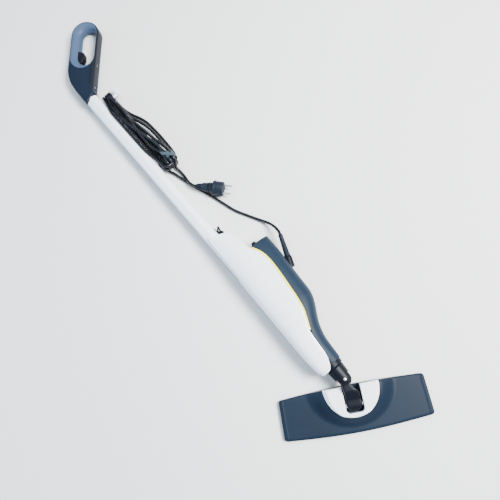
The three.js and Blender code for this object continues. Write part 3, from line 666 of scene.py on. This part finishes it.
class AddStage(bpy.types.Operator):
    """Add the camera, the soft lights and the pale floor."""

    bl_idname = "steam_mop.add_stage"
    bl_label = "Stage"

    def execute(self, context):
        camera = bpy.data.cameras.new("camera")
        camera.lens = CAMERA_LENS
        camera.clip_start = 0.01
        holder = bpy.data.objects.new("camera", camera)
        context.scene.collection.objects.link(holder)
        holder.matrix_world = Matrix.Translation(CAMERA_PLACE) @ Matrix(CAMERA_AXES).transposed().to_4x4()
        context.scene.camera = holder

        bpy.ops.object.select_all(action="DESELECT")
        bpy.ops.mesh.primitive_plane_add(size=14, location=(0, 0.3, -0.0005))
        floor = named("floor")
        finish = Finish("pale_floor", (0.72, 0.72, 0.72), 0.8)
        cloud = finish.noise((180, 180, 180), 4)
        finish.feed("Base Color", finish.mix(cloud, (0.71, 0.71, 0.71, 1), (0.73, 0.73, 0.73, 1)))
        floor.data.materials.append(finish.material)

        world = bpy.data.worlds.new("studio")
        context.scene.world = world
        world.use_nodes = True
        background = world.node_tree.nodes["Background"]
        background.inputs["Color"].default_value = (0.80, 0.90, 1.0, 1)
        background.inputs["Strength"].default_value = 0.58
        for name, place, size, power, colour in LIGHTS:
            lamp = bpy.data.lights.new(name, "AREA")
            lamp.size = size
            lamp.energy = power
            lamp.color = colour
            light = bpy.data.objects.new(name, lamp)
            context.scene.collection.objects.link(light)
            light.location = place
            light.rotation_euler = (AIM - Vector(place)).to_track_quat("-Z", "Y").to_euler()
        return {"FINISHED"}


# ---- Mains lead -----------------------------------------------------------------------------------
# Points, [across, along, height above the floor], as the CAD solids' routes.
LEAD_ROUTE = [
    (104.4, 325.9, 35), (107, 335, 32.5), (107.3, 350, 25), (104.6, 366, 15), (98, 382, 7.5), (90, 398, 4.2),
    (81.5, 415, 3.8), (73.5, 431, 3.8), (65.9, 448, 3.8), (58, 476, 3.8), (49.5, 506, 3.8), (41.5, 530, 3.8),
    (33.5, 553.4, 3.8), (27, 575, 3.8), (21.6, 596.6, 4.8), (17.6, 613, 5.6),
]
TAIL_ROUTE = [
    (31, 621, 10), (31.5, 612, 6.5), (32, 600, 5), (31.5, 589, 6.5), (30.2, 578, 10.5),
    (29.8, 568, 14.5), (31, 559, 17.5), (33.4, 552.4, 18.4), (35.8, 549.5, 18.5),
]
HANK_LEFT = 8.2  # centre of the strand beside the tube
HANK_RIGHT = [
    (622, 32), (634, 40), (646, 43), (670, 40), (690, 35), (720, 31), (760, 28), (800, 26), (830, 26), (880, 27.5),
]
OUTER_SLACK = [
    (622, 32), (637, 42), (652, 49), (674, 52), (712, 53), (761, 51), (790, 43), (812, 34), (840, 28.5), (880, 27.5),
]
INNER_SLACK = [
    (622, 30), (637, 38), (652, 42), (677, 43), (700, 45), (722, 45.5), (758, 41), (785, 33), (810, 26), (880, 24),
]
LAYER_END = (5.4, 12.6, 29.4, 35.8)  # strand heights where the hank goes round the hook
LAYER_MIDDLE = (4.6, 12.5, 21.0, 29.5)
HANK_COLUMNS = 4
PIN_NODES = ("plug_pin_1", "plug_pin_2")
BOTTOM_FOLD = 637
TOP_FOLD = 866
HANK_FOOT = 640  # between these two stations the strands spread
HANK_HEAD = 868
HANK_MIDDLE = 752
HANK_SPAN = 225
HANK_STEPS = 15
FOLD_REACH = 12.0
LINE_STEP = 4.0


def strand(layer, column, y):
    """Point of one run of the hank at a station."""
    middle = smooth((y - HANK_FOOT) / 55) * smooth((HANK_HEAD - y) / 50)
    rise = (y - HANK_FOOT) / HANK_SPAN
    height = LAYER_END[layer] + (LAYER_MIDDLE[layer] - LAYER_END[layer]) * middle
    share = (column + (0.5 if layer % 2 else 0.0)) / (HANK_COLUMNS - 0.5)
    right = read(HANK_RIGHT, y)
    x = HANK_LEFT + share * (right - HANK_LEFT)
    phase = 1.7 * layer + 2.3 * column  # each strand waves and leans in its own way
    slant = (5 * layer + 3 * column) % 4 - 1.5
    x += middle * (1.2 * math.sin(phase + (y - HANK_FOOT) / 37) + slant * 3.4 * (y - HANK_MIDDLE) / 112)
    if (layer, column) == (3, 1):  # one strand lies slantwise over the others
        x += middle * (20 - 36 * rise)
        height += 7.0 * middle
    if (layer, column) == (3, 2):  # and one the other way
        x += middle * (-14 + 22 * rise)
        height += 4.0 * middle
    if column == HANK_COLUMNS - 1 and layer == 0:
        x = read(OUTER_SLACK, y)
    elif column == HANK_COLUMNS - 1 and layer == 1:
        x = read(INNER_SLACK, y)
        height += 2 * middle
    if (layer, column) == (3, 0):  # this one lies on top of the tube's edge
        x = HANK_LEFT - 8 * middle
        height = 35.8 + 4.7 * middle
    lean = 4 * middle if layer == 3 else 0
    return Vector((x if (layer, column) == (3, 0) else max(x, HANK_LEFT - lean), y, height))


def fold(start, end, reach):
    """Points of a half turn from one strand's end to the next one's."""
    middle = (start + end) / 2
    side = (start - end) / 2
    out = Vector((0, reach, 0))
    return [middle + side * math.cos(a) + out * math.sin(a) for a in (math.pi * k / 7 for k in range(1, 7))]


def hank_points():
    """The whole hank: up one strand and down the next, round the hook at the top."""
    order = [(layer, column) for pair in ((0, 2), (3, 1)) for column in range(HANK_COLUMNS) for layer in pair]
    points = []
    for run, (layer, column) in enumerate(order):
        up = run % 2 == 0
        stations = [BOTTOM_FOLD + (TOP_FOLD - BOTTOM_FOLD) * k / HANK_STEPS for k in range(HANK_STEPS + 1)]
        if not up:
            stations.reverse()
        points += [strand(layer, column, y) for y in stations]
        if run + 1 < len(order):
            next_start = strand(*order[run + 1], stations[-1])
            points += fold(points[-1], next_start, FOLD_REACH if up else -FOLD_REACH)
    return points


def smooth_line(points, step):
    """Catmull-Rom points through the given ones, about a step apart."""
    line = []
    padded = [2 * points[0] - points[1], *points, 2 * points[-1] - points[-2]]
    for a, b, c, d in zip(padded, padded[1:], padded[2:], padded[3:]):
        pieces = max(1, round((c - b).length / step))
        for k in range(pieces):
            t = k / pieces
            line.append(
                0.5 * (2 * b + (c - a) * t + (2 * a - 5 * b + 4 * c - d) * t * t + (3 * b - a - 3 * c + d) * t ** 3)
            )
    return [*line, points[-1]]


class AddCord(bpy.types.Operator):
    """Add the mains lead: one cord from the strain relief through its hank to the plug."""

    bl_idname = "steam_mop.add_cord"
    bl_label = "Mains lead"

    def execute(self, context):
        sizes = context.scene.steam_mop_sizes
        route = [Vector(p) for p in LEAD_ROUTE] + hank_points() + [Vector(p) for p in TAIL_ROUTE]
        line = [LYING @ p for p in smooth_line(route, LINE_STEP)]
        curve = bpy.data.curves.new("mains_cord", "CURVE")
        curve.dimensions = "3D"
        curve.bevel_depth = sizes.cord_diameter / 2
        curve.bevel_resolution = 3
        curve.use_fill_caps = True
        spline = curve.splines.new("POLY")
        spline.points.add(len(line) - 1)
        for point, place in zip(spline.points, line):
            point.co = (*place, 1.0)
        spline.use_smooth = True
        cord = bpy.data.objects.new("mains_cord", curve)
        context.scene.collection.objects.link(cord)
        settle(cord, "cord", "cord_lead", "cord_hank", "cord_tail")
        length = sum((b - a).length for a, b in zip(line, line[1:]))
        return {"FINISHED"}


PLUG_TAIL = Vector((36.2, 549, 18.5))
PLUG_FACE = Vector((79.6, 497.8, 18.5))


class AddPlug(bpy.types.Operator):
    """Add the plug: ribbed tail, tapered grip, flange and round face."""

    bl_idname = "steam_mop.add_plug"
    bl_label = "Plug"

    def execute(self, context):
        length = (PLUG_FACE - PLUG_TAIL).length
        place = frame_along(LYING, PLUG_TAIL, PLUG_FACE)
        profile = [(0, 0), (4.4, 0)]
        for k in range(4):  # bend relief rings
            y = 1.2 + 3.4 * k
            radius = 5.6 + 0.75 * k
            profile += [(radius, y), (radius, y + 1.9), (radius - 1.3, y + 2.3), (radius - 1.3, y + 3.0)]
        profile += [(8.4, 15.4), (9.2, 16.6), (9.6, 18), (10.4, 26), (11.5, 34), (12.7, 41.2), (13.0, 42)]
        profile += [(17.6, 42.4), (18.1, 43.2), (18.1, 46.6), (17.6, 47.6), (16.9, 48.2), (16.9, length - 2.4)]
        profile += [(16.4, length - 1), (15.2, length - 0.2), (12.5, length), (12.4, length - 1.2), (0, length - 1.2)]
        shell = turned("plug_shell", profile, place, 64)

        def flatten(point):
            """Flat grip faces above and below the tapered part."""
            flat = 7.4 + 0.12 * (point.y - 16)
            if 16 < point.y < 41.5 and abs(point.z) > flat:
                point.z = math.copysign(flat, point.z)
            return point

        reshape(shell, place, flatten)
        soften(shell, 40)
        settle(shell, "relief", "plug_body")

        def rib(s, t):
            """One raised ring on the tapered part."""
            angle = 2 * math.pi * s
            radius = 11 + 0.88 * t + (1 if t > 0.5 else 0)
            return radius * math.cos(angle), 30 + 3.0 * t, radius * math.sin(angle)

        collar = bent_grid("plug_collar", 48, 4, rib, place, outward=True)
        finish_mesh(collar, "SOLIDIFY", thickness=0.6 * MM, offset=-1)
        soften(collar, 40)
        settle(collar, "black", "plug_body")
        return {"FINISHED"}


class AddStrap(bpy.types.Operator):
    """Add the band that ties the hank, with its loose end laid slantwise over it."""

    bl_idname = "steam_mop.add_strap"
    bl_label = "Strap"

    def execute(self, context):
        centre = Vector((26.3, 646, 20.4))

        def round_band(s, t):
            angle = 2 * math.pi * s
            c, d = math.cos(angle), math.sin(angle)
            x = math.copysign(abs(c) ** 0.62, c) * 23.6
            z = math.copysign(abs(d) ** 0.62, d) * 19.6
            if z > 0:  # its left half passes under the top strands
                z -= 15 * smooth((4 - x) / 9) * z / 19.6
            sway = 2.0 * math.sin(angle * 2)
            return centre.x + x, centre.y + (t - 0.5) * 12 + sway, centre.z + z

        band = bent_grid("hank_band", 96, 6, round_band, LYING)
        finish_mesh(band, "SOLIDIFY", thickness=1.2 * MM, offset=-1)
        soften(band, 50)
        settle(band, "strap", "hank_strap")

        def loose_end(s, t):
            x = 24 + 24.5 * s
            y = 660 - 26 * s + (t - 0.5) * 11
            edge = max(0.0, (x - 41) / 8)
            z = 41.4 - 9 * edge * edge - 3 * (1 - s) ** 6
            return x, y, z

        tail = bent_grid("hank_band_end", 24, 5, loose_end, LYING, outward=False)
        finish_mesh(tail, "SOLIDIFY", thickness=1.1 * MM, offset=0)
        soften(tail, 50)
        settle(tail, "strap", "hank_strap")
        return {"FINISHED"}


# ---- Casing ---------------------------------------------------------------------------------------
FRONT_COLUMNS = 80
WALL_COLUMNS = 8
CASE_ROWS = 150
NOSE_START = 336
NOSE_END = 410.5
FRONT_STATIONS = [(0, 38), (0.05, 41), (0.12, 51), (0.70, 335), (0.72, 339), (0.86, 398), (1, 424)]


TUBE_WINDOW = [  # the tube's front stays in sight along the shell's upper front
    (-60, 300), (-34, 300), (-30.5, 306), (-28, 316), (-26.8, 330), (-26.2, 360), (-25.8, 400), (-25.4, 414),
    (-20.5, 421.5), (-20.5, 440), (-60, 440),
]


class AddFrontShell(bpy.types.Operator):
    """Add the white front shell, wrapped round the front of the casing and up to its nose."""

    bl_idname = "steam_mop.add_front_shell"
    bl_label = "Front shell"

    def execute(self, context):
        edge = TOE_EDGE + SPLIT_EDGE + NOSE_EDGE
        wall = WALL_COLUMNS / FRONT_COLUMNS

        def shape(s, t):
            y = blend_list(FRONT_STATIONS, t)
            theta = case_angle(y, read(edge, y))
            skin = min(1.0, max(0.0, (s - wall) / (1 - 2 * wall)))
            point = case_point(y, theta + (2 * math.pi - 2 * theta) * skin)
            if NOSE_START < y < NOSE_END:  # the nose is closed between its upper and lower skin
                if s < wall:
                    point.z *= s / wall
                elif s > 1 - wall:
                    point.z *= (1 - s) / wall
            return point

        shell = bent_grid("front_shell_skin", FRONT_COLUMNS, CASE_ROWS, shape, BODY)
        finish_mesh(shell, "SOLIDIFY", thickness=context.scene.steam_mop_sizes.shell_wall, offset=-1)
        cut(shell, slab("tube_window", TUBE_WINDOW, -60, 60, BODY))
        round_edges(shell, 0.9, 2, 50)
        soften(shell, 40)
        settle(shell, "white", "front_shell")
        return {"FINISHED"}


HOUSING_FOOT = 45.5
HOUSING_TOE = [(HOUSING_FOOT, 10), (50, 2.5), (70, 5.8), (101, 8.9), (112, 11)]
HOUSING_EDGE = HOUSING_TOE + [(y, x + TRIM_WIDTH + 0.3) for y, x in SPLIT_EDGE if y >= TRIM_START]
SEAT_SHARE = 0.94  # the rows of the housing before its flat seat
SCREW_STATIONS = (66, 133)


class AddRearHousing(bpy.types.Operator):
    """Add the slate rear housing with the flat seat of the water tank on top."""

    bl_idname = "steam_mop.add_rear_housing"
    bl_label = "Rear housing"

    def execute(self, context):
        def shape(s, t):
            y = HOUSING_FOOT + (SEAT - HOUSING_FOOT) * min(1.0, t / SEAT_SHARE)
            theta = case_angle(y, read(HOUSING_EDGE, min(y, TRIM_END)))
            point = case_point(y, theta * (1 - 2 * s))
            if t > SEAT_SHARE:
                point.z *= (1 - t) / (1 - SEAT_SHARE)
            return point

        housing = bent_grid("rear_housing_skin", 64, CASE_ROWS, shape, BODY)
        finish_mesh(housing, "SOLIDIFY", thickness=context.scene.steam_mop_sizes.shell_wall, offset=-1)
        cut(housing, *(
            screw_recess(3.5, 12, BODY @ Matrix.Translation((read(BACK_EDGE, station) + 2, station, 0)))
            for station in SCREW_STATIONS
        ))
        soften(housing, 40)
        settle(housing, "slate", "rear_housing")
        return {"FINISHED"}


class AddTrim(bpy.types.Operator):
    """Add the two yellow lines between the shell and the housing."""

    bl_idname = "steam_mop.add_trim"
    bl_label = "Yellow trim"

    def execute(self, context):
        for side, node in ((1, "trim_strip_left"), (-1, "trim_strip_right")):
            def shape(s, t, side=side):
                y = TRIM_START + (TRIM_END - TRIM_START) * t
                start = read(SPLIT_EDGE, y)
                theta = case_angle(y, start + 0.25 + (TRIM_WIDTH + 0.1) * s)
                crown = 0.35 * math.sin(math.pi * s)
                point = case_point(y, theta, crown)
                return point.x, point.y, point.z * side

            strip = bent_grid(node + "_bead", 6, 120, shape, BODY, outward=False)
            finish_mesh(strip, "SOLIDIFY", thickness=2 * MM, offset=-side)
            weld(strip)
            soften(strip, 50)
            settle(strip, "yellow", node)
        return {"FINISHED"}


TUBE_HALF = [
    (TUBE_AXIS - 16, 6.5), (TUBE_AXIS - 13, 12.5), (TUBE_AXIS + 2, 17), (TUBE_AXIS + 13, 12.5), (TUBE_AXIS + 16, 7),
]
TUBE_OUTLINE = [(x, -z) for x, z in TUBE_HALF] + TUBE_HALF[::-1]
TUBE_FOOT = 304
TUBE_HEAD = 897


class AddTube(bpy.types.Operator):
    """Add the white ridged tube between the casing and the handle."""

    bl_idname = "steam_mop.add_tube"
    bl_label = "Tube"

    def execute(self, context):
        place = BODY @ Matrix.Rotation(math.pi / 2, 4, "X")
        tube = slab("ridged_tube", TUBE_OUTLINE, -TUBE_HEAD, -TUBE_FOOT, place)
        round_edges(tube, 2.2, 4, 10)
        soften(tube, 40)
        settle(tube, "white", "tube")
        return {"FINISHED"}


# ---- Handle ---------------------------------------------------------------------------------------
SPLIT_V = 27
PART_GAP = 0.3
HANDLE_HALF_THICK = 16.5
HANDLE_PARTS = (  # CAD node, finish, parting plane, which side goes, screws' places up the loop
    ("handle_front_shell", "handle", SPLIT_V, True, ()),
    ("handle_back_shell", "handle_back", SPLIT_V + PART_GAP, False, (-47, 14)),
)


def handle_outline():
    """Outline of the whole handle, from its foot up the front, over the loop and down the back."""
    points = [(TUBE_AXIS - 17.4, 889), (TUBE_AXIS - 17.0, 905)]
    start, end = Vector((TUBE_AXIS - 16.4, 930)), Vector(loop(14, -LOOP_HALF))
    first, second = Vector((TUBE_AXIS - 16.2, 962)), Vector((TUBE_AXIS - 12, 990))
    for k in range(15):
        t = k / 14
        q = 1 - t
        points.append(tuple(q ** 3 * start + 3 * q * q * t * first + 3 * q * t * t * second + t ** 3 * end))
    for k in range(1, 4):
        points.append(loop(14 + (LOOP_STRAIGHT - 14) * k / 4, -LOOP_HALF))
    for k in range(41):
        turn = math.pi * k / 40
        points.append(loop(LOOP_STRAIGHT + LOOP_HALF * math.sin(turn), -LOOP_HALF * math.cos(turn)))
    for u in (60, 25, -10, -40, -58):
        points.append(loop(u, LOOP_HALF))
    points += [(TUBE_AXIS + 17.6, 905), (TUBE_AXIS + 17.2, 901), (TUBE_AXIS + 6, 895.5), (TUBE_AXIS - 6, 891)]
    return points


PARTING = [(180, 0), (10, 0), (-10, -2), (-25, -3.5), (-40, -2), (-50, 2), (-58, 9.5), (-64, 20)]


def other_half(name, v, towards_back):
    """A big block on one side of the handle's parting line, which bends back towards the tube."""
    line = [loop(u, v + bend) for u, bend in PARTING]
    if towards_back:
        corners = [*line, loop(-64, 90), loop(180, 90)]
    else:
        corners = [*line, loop(-160, 20), loop(-160, -150), loop(180, -150)]
    return slab(name, corners, -40, 40, BODY)


class AddHandle(bpy.types.Operator):
    """Add the handle's front and back shells, parted along the back limb."""

    bl_idname = "steam_mop.add_handle"
    bl_label = "Handle shells"

    def execute(self, context):
        rounding = context.scene.steam_mop_sizes.handle_round / MM
        half = INSERT_HALF + PART_GAP
        hole = [loop(u, v) for u, v in stadium(-PART_GAP, INSERT_END + PART_GAP, -half, half, 96)]

        def flare(point):
            """The handle's foot is a little thicker, over the tube."""
            return point.x, point.y, point.z * (1 + 0.12 * smooth((918 - point.y) / 24))

        for node, finish, plane, drop_back, screws in HANDLE_PARTS:
            shell = slab(node + "_skin", handle_outline(), -HANDLE_HALF_THICK, HANDLE_HALF_THICK, BODY, rounding, 6)
            reshape(shell, BODY, flare)
            cutters = [slab("insert_room", hole, -40, 40, BODY), other_half("other_half", plane, drop_back)]
            for u in screws:
                face = Matrix.Translation((*loop(u, LOOP_HALF + 1), 0)) @ Matrix.Rotation(-LOOP_TILT, 4, "Z")
                cutters.append(screw_recess(3.4, 9, BODY @ face))
            cut(shell, *cutters)
            soften(shell, 35)
            settle(shell, finish, node)
        return {"FINISHED"}


RING_STEPS = 128
FINGER_HOLE = (12, 111, -11.5, 31)  # from, to up the loop, then from, to across it
RING_SECTION = [
    (0.0, 0.0), (0.0, 15.2), (0.03, 16.2), (0.08, 16.6), (0.20, 16.6), (0.36, 16.2), (0.52, 15.3), (0.66, 13.9),
    (0.78, 11.9), (0.88, 9.2), (0.95, 6.0), (0.99, 2.6), (1.0, 0.0),
]
TRIGGER_POCKET = [(13.5, -29), (51, -29), (51, -5), (13.5, -5)]


class AddGripInsert(bpy.types.Operator):
    """Add the blue-grey insert of the handle loop, rounded towards the hand, with the trigger's pocket."""

    bl_idname = "steam_mop.add_grip_insert"
    bl_label = "Grip insert"

    def execute(self, context):
        outer = stadium(0, INSERT_END, -INSERT_HALF, INSERT_HALF, RING_STEPS)
        inner = stadium(*FINGER_HOLE, RING_STEPS)
        half = RING_SECTION + [(w, -z) for w, z in reversed(RING_SECTION[1:-1])]
        section = [*half, half[0]]
        count = len(section) - 1

        def shape(s, t):
            k = round(s * RING_STEPS) % RING_STEPS
            w, z = section[round(t * count)]
            u = outer[k][0] + (inner[k][0] - outer[k][0]) * w
            v = outer[k][1] + (inner[k][1] - outer[k][1]) * w
            return (*loop(u, v), z)

        ring = bent_grid("grip_insert", RING_STEPS, count, shape, BODY)
        pocket = slab("trigger_room", [loop(u, v) for u, v in TRIGGER_POCKET], -9.8, 9.8, BODY)
        cut(ring, pocket)
        soften(ring, 35)
        settle(ring, "grip", "handle_grip_insert")
        return {"FINISHED"}


# ---- Neck, latch and other mouldings --------------------------------------------------------------
MOULDINGS = (  # CAD node, voxel in millimetres, smoothing passes, finish
    ("knuckle", 0.8, 70, "black"),
    ("neck_sleeve", 0.7, 5, "black"),
    ("neck_collar", 0.7, 4, "black"),
    ("trigger", 0.5, 8, "black"),
    ("cord_hook_upper", 0.5, 3, "white"),
    ("relief_gland", 0.5, 4, "black"),
    ("head_cover", 0.8, 6, "white"),
)


def slope_cover(point):
    """Slopes the head cover's flanks inward and bevels its back edge."""
    x, y, z = point
    start = PLATE_TOP + dome(x, y) - 0.5
    rise = min(1.0, max(0.0, (z - start) / max(4.0, 38 - start)))
    return (
        x - math.copysign(6.5 * rise * smooth((abs(x) - 24) / 26), x),
        y + 3.0 * rise * smooth((-9 - y) / 8),
        z - 4.0 * smooth((y - 40.5) / 6.5) * smooth((z - 30) / 8),
    )


class AddMouldings(bpy.types.Operator):
    """Add the knuckle, neck, trigger, cord hook, gland and head cover with moulded edges."""

    bl_idname = "steam_mop.add_mouldings"
    bl_label = "Mouldings"

    def execute(self, context):
        for node, voxel, passes, finish in MOULDINGS:
            piece = moulded(node, voxel, passes)
            if node == "head_cover":
                reshape(piece, ROW, slope_cover)
            settle(piece, finish, node)
        return {"FINISHED"}


LATCH_OUTLINE = [
    (4.3, 428), (4.3, 419), (5.6, 416.4), (9, 412.8), (13.2, 411.4), (14.6, 415.4), (11.8, 420.5), (11.8, 426.5),
    (13.6, 432), (10.2, 434), (6.6, 430),
]


class AddLatch(bpy.types.Operator):
    """Add the rocking latch that holds the water tank."""

    bl_idname = "steam_mop.add_latch"
    bl_label = "Tank latch"

    def execute(self, context):
        latch = slab("tank_latch_rocker", LATCH_OUTLINE, -5.2, 5.2, BODY, 0.9, 3)
        soften(latch, 40)
        settle(latch, "black", "tank_latch")
        return {"FINISHED"}


RELIEF_FOOT = Vector((81.5, 272, 0))
RELIEF_HEAD = Vector((104, 325, 0))


class AddStrainRelief(bpy.types.Operator):
    """Add the tapered sleeve that the lead leaves the housing through."""

    bl_idname = "steam_mop.add_strain_relief"
    bl_label = "Strain relief"

    def execute(self, context):
        length = (RELIEF_HEAD - RELIEF_FOOT).length
        place = frame_along(BODY, RELIEF_FOOT, RELIEF_HEAD)
        profile = [(0, 0.2), (6.2, 0.2), (6.9, 2), (6.9, 10), (6.5, 12)]
        for k in range(3):  # shallow rings near the tip
            y = 34 + 5.5 * k
            radius = 5.6 - 0.12 * k
            profile += [(radius, y), (radius, y + 3.2), (radius - 0.7, y + 3.7), (radius - 0.7, y + 4.9)]
        profile += [(5.2, 51.5), (5.2, length - 1.5), (4.7, length - 0.4), (3.6, length), (0, length)]
        sleeve = turned("strain_relief_sleeve", profile, place, 40)
        soften(sleeve, 45)
        settle(sleeve, "relief", "strain_relief")
        return {"FINISHED"}


# ---- Head -----------------------------------------------------------------------------------------
HEAD_HALF_LENGTH = 155
HEAD_HALF_DEPTH = 42
FRONT_BOW = 8.5
BACK_BOW = 6
PLATE_BOTTOM = 5.8
PLATE_TOP = 14
DOME_RISE = 19
CORNER_RADIUS = 5.5
BORDER = 8  # the sloped border along the two ends
SLOT_HALF = 19
ROOM_HALF = 59.3
ROOM_BACK = 47
ROOM_DEPTH = 65.3
ROOM_FLOOR = 15.9
SLOT_FLOOR = 12.6


def dome(x, y):
    """Rise of the plate towards the knuckle, which starts with a soft hollow flank."""
    reach = 1 - math.hypot(x / 96, min(y - 44, 0) / 84)
    return DOME_RISE * smooth(reach * 2.6)


def plate_height(x, y, to_end, to_side):
    """Top of the head plate, from the distances to its ends and to its long edges."""
    height = PLATE_TOP + dome(x, y)
    height -= 2.6 * (1 - min(1.0, to_end / BORDER))
    height -= 1.4 * (1 - min(1.0, to_side / (BORDER * 0.75)))
    height += 0.45 * math.exp(-(((to_end - BORDER) / 0.9) ** 2))
    near = min(to_end, to_side)
    rim = 2.2
    if near < rim:
        height -= rim - math.sqrt(max(0.0, rim * rim - (rim - near) ** 2))
    return height


class AddHeadPlate(bpy.types.Operator):
    """Add the slate plate of the head with its dome, sloped borders and round corners."""

    bl_idname = "steam_mop.add_head_plate"
    bl_label = "Head plate"

    def execute(self, context):
        def spread(s, limit, border):
            """Grid lines closer together towards the borders."""
            s = 2 * s - 1
            return math.copysign(limit * (1 - (1 - abs(s)) ** border), s)

        def shape(s, t):
            x = spread(s, HEAD_HALF_LENGTH, 1.35)
            bow = math.cos(math.pi / 2 * x / HEAD_HALF_LENGTH)
            low, high = -HEAD_HALF_DEPTH - FRONT_BOW * bow, HEAD_HALF_DEPTH + BACK_BOW * bow
            across = spread(t, 1.0, 1.5)
            y = (low + high) / 2 + across * (high - low) / 2
            to_end = HEAD_HALF_LENGTH - abs(x)
            x *= 1 + 0.010 * (1 - across)  # the front edge is a little longer
            to_side = (high - low) / 2 * (1 - abs(across))
            if to_end < CORNER_RADIUS and to_side < CORNER_RADIUS:  # corners pulled in to a quarter round
                a, b = CORNER_RADIUS - to_end, CORNER_RADIUS - to_side
                shrink = max(a, b) / max(1e-9, math.hypot(a, b))
                x -= math.copysign(a * (1 - shrink), x)
                y -= math.copysign(b * (1 - shrink), across)
                to_end = to_side = CORNER_RADIUS - max(a, b)
            return x, y, plate_height(x, y, to_end, to_side)

        plate = bent_grid("head_plate_skin", 200, 90, shape, ROW, outward=False)
        drop = Vector((0, 0, -0.05))
        edit(plate, lambda: bpy.ops.mesh.extrude_region_move(TRANSFORM_OT_translate={"value": drop}))
        for vertex in plate.data.vertices:
            if vertex.co.z < 0:
                vertex.co.z = PLATE_BOTTOM * MM
        edit(plate, lambda: bpy.ops.mesh.normals_make_consistent(inside=False))
        bend = [math.pi * k / 32 for k in range(1, 32)]
        room = [(ROOM_HALF, 60), (ROOM_HALF, ROOM_BACK)]
        room += [(ROOM_HALF * math.cos(a), ROOM_BACK - ROOM_DEPTH * math.sin(a) ** 0.82) for a in bend]
        room += [(-ROOM_HALF, ROOM_BACK), (-ROOM_HALF, 60)]
        slot = [(-SLOT_HALF, -9), (SLOT_HALF, -9), (SLOT_HALF, 70), (-SLOT_HALF, 70)]
        cut(plate, slab("cover_room", room, ROOM_FLOOR, 60, ROW), slab("knuckle_room", slot, SLOT_FLOOR, 60, ROW))
        soften(plate, 28)
        settle(plate, "plate", "head_plate")
        return {"FINISHED"}


BEVELLED = (  # CAD node, bevel in millimetres, finish
    ("sole_plate", 0.5, "black"),
    ("front_lip", 0.5, "rubber"),
    ("back_lip", 0.5, "rubber"),
    ("latch_bracket", 0.4, "black"),
    ("cord_hook_base", 0.5, "white"),
    ("tank_inlet", 0.3, "black"),
    ("inlet_seal", 0.3, "rubber"),
    ("steer_pin", 0.8, "steel"),
    ("pitch_axle", 0.4, "steel"),
    ("latch_pin", 0.2, "steel"),
    ("trigger_pin", 0.2, "steel"),
    *((f"{part}_screw_{k}", 0.3, "steel") for part in ("housing", "handle") for k in (1, 2)),
)


class AddFittings(bpy.types.Operator):
    """Add the sole, lips, pins, screws and water inlet with bevelled edges."""

    bl_idname = "steam_mop.add_fittings"
    bl_label = "Fittings"

    def execute(self, context):
        for node, width, finish in BEVELLED:
            settle(bevelled(node, width), finish, node)
        return {"FINISHED"}


INNER_FINISHES = {
    "steel": (
        "boiler", "thermostat", "steam_pipe", "trigger_spring", "swivel_clip", *PIN_NODES,
        *(f"head_screw_{k}" for k in range(1, 5)),
    ),
    "black": ("pump", "steam_switch", "steam_channel"),
    "rubber": ("boiler_hose", "water_hose", "switch_wire"),
    "pad": ("hook_pad_left", "hook_pad_right"),
    "board": ("circuit_board",),
}


class FinishInnerPieces(bpy.types.Operator):
    """Give the pieces that keep their CAD shape their finishes."""

    bl_idname = "steam_mop.finish_inner_pieces"
    bl_label = "Inner pieces"

    def execute(self, context):
        for finish, nodes in INNER_FINISHES.items():
            for node in nodes:
                paint(frame["nodes"][node], finish)
        return {"FINISHED"}


PIECES = (  # the plug and band come before the lead
    AddPlug, AddStrap, AddCord, AddFrontShell, AddRearHousing, AddTrim, AddTube, AddHandle, AddGripInsert,
    AddMouldings, AddLatch, AddStrainRelief, AddHeadPlate, AddFittings, FinishInnerPieces,
)


class MopPanel(bpy.types.Panel):
    """Sidebar panel that lists the mop's pieces and settings."""

    bl_idname = "VIEW3D_PT_steam_mop"
    bl_label = "Steam mop"
    bl_space_type = "VIEW_3D"
    bl_region_type = "UI"
    bl_category = "Steam Mop"

    def draw(self, context):
        layout = self.layout
        for group in (context.scene.steam_mop_sizes, context.scene.steam_mop_colours):
            column = layout.column()
            for name in group.__annotations__:
                column.prop(group, name)
        for operator in (AddStage, *PIECES):
            layout.operator(operator.bl_idname)


CLASSES = (MopColours, MopSizes, AddStage, *PIECES, MopPanel)


def register():
    for item in CLASSES:
        bpy.utils.register_class(item)
    bpy.types.Scene.steam_mop_colours = bpy.props.PointerProperty(type=MopColours)
    bpy.types.Scene.steam_mop_sizes = bpy.props.PointerProperty(type=MopSizes)


def unregister():
    del bpy.types.Scene.steam_mop_sizes
    del bpy.types.Scene.steam_mop_colours
    for item in reversed(CLASSES):
        bpy.utils.unregister_class(item)


def main():
    register()
    make_finishes(bpy.context.scene.steam_mop_colours)
    bpy.ops.steam_mop.add_stage()
    for piece in PIECES:
        group, name = piece.bl_idname.split(".")
        getattr(getattr(bpy.ops, group), name)()
    bpy.context.view_layer.update()


if __name__ == "__main__":
    main()
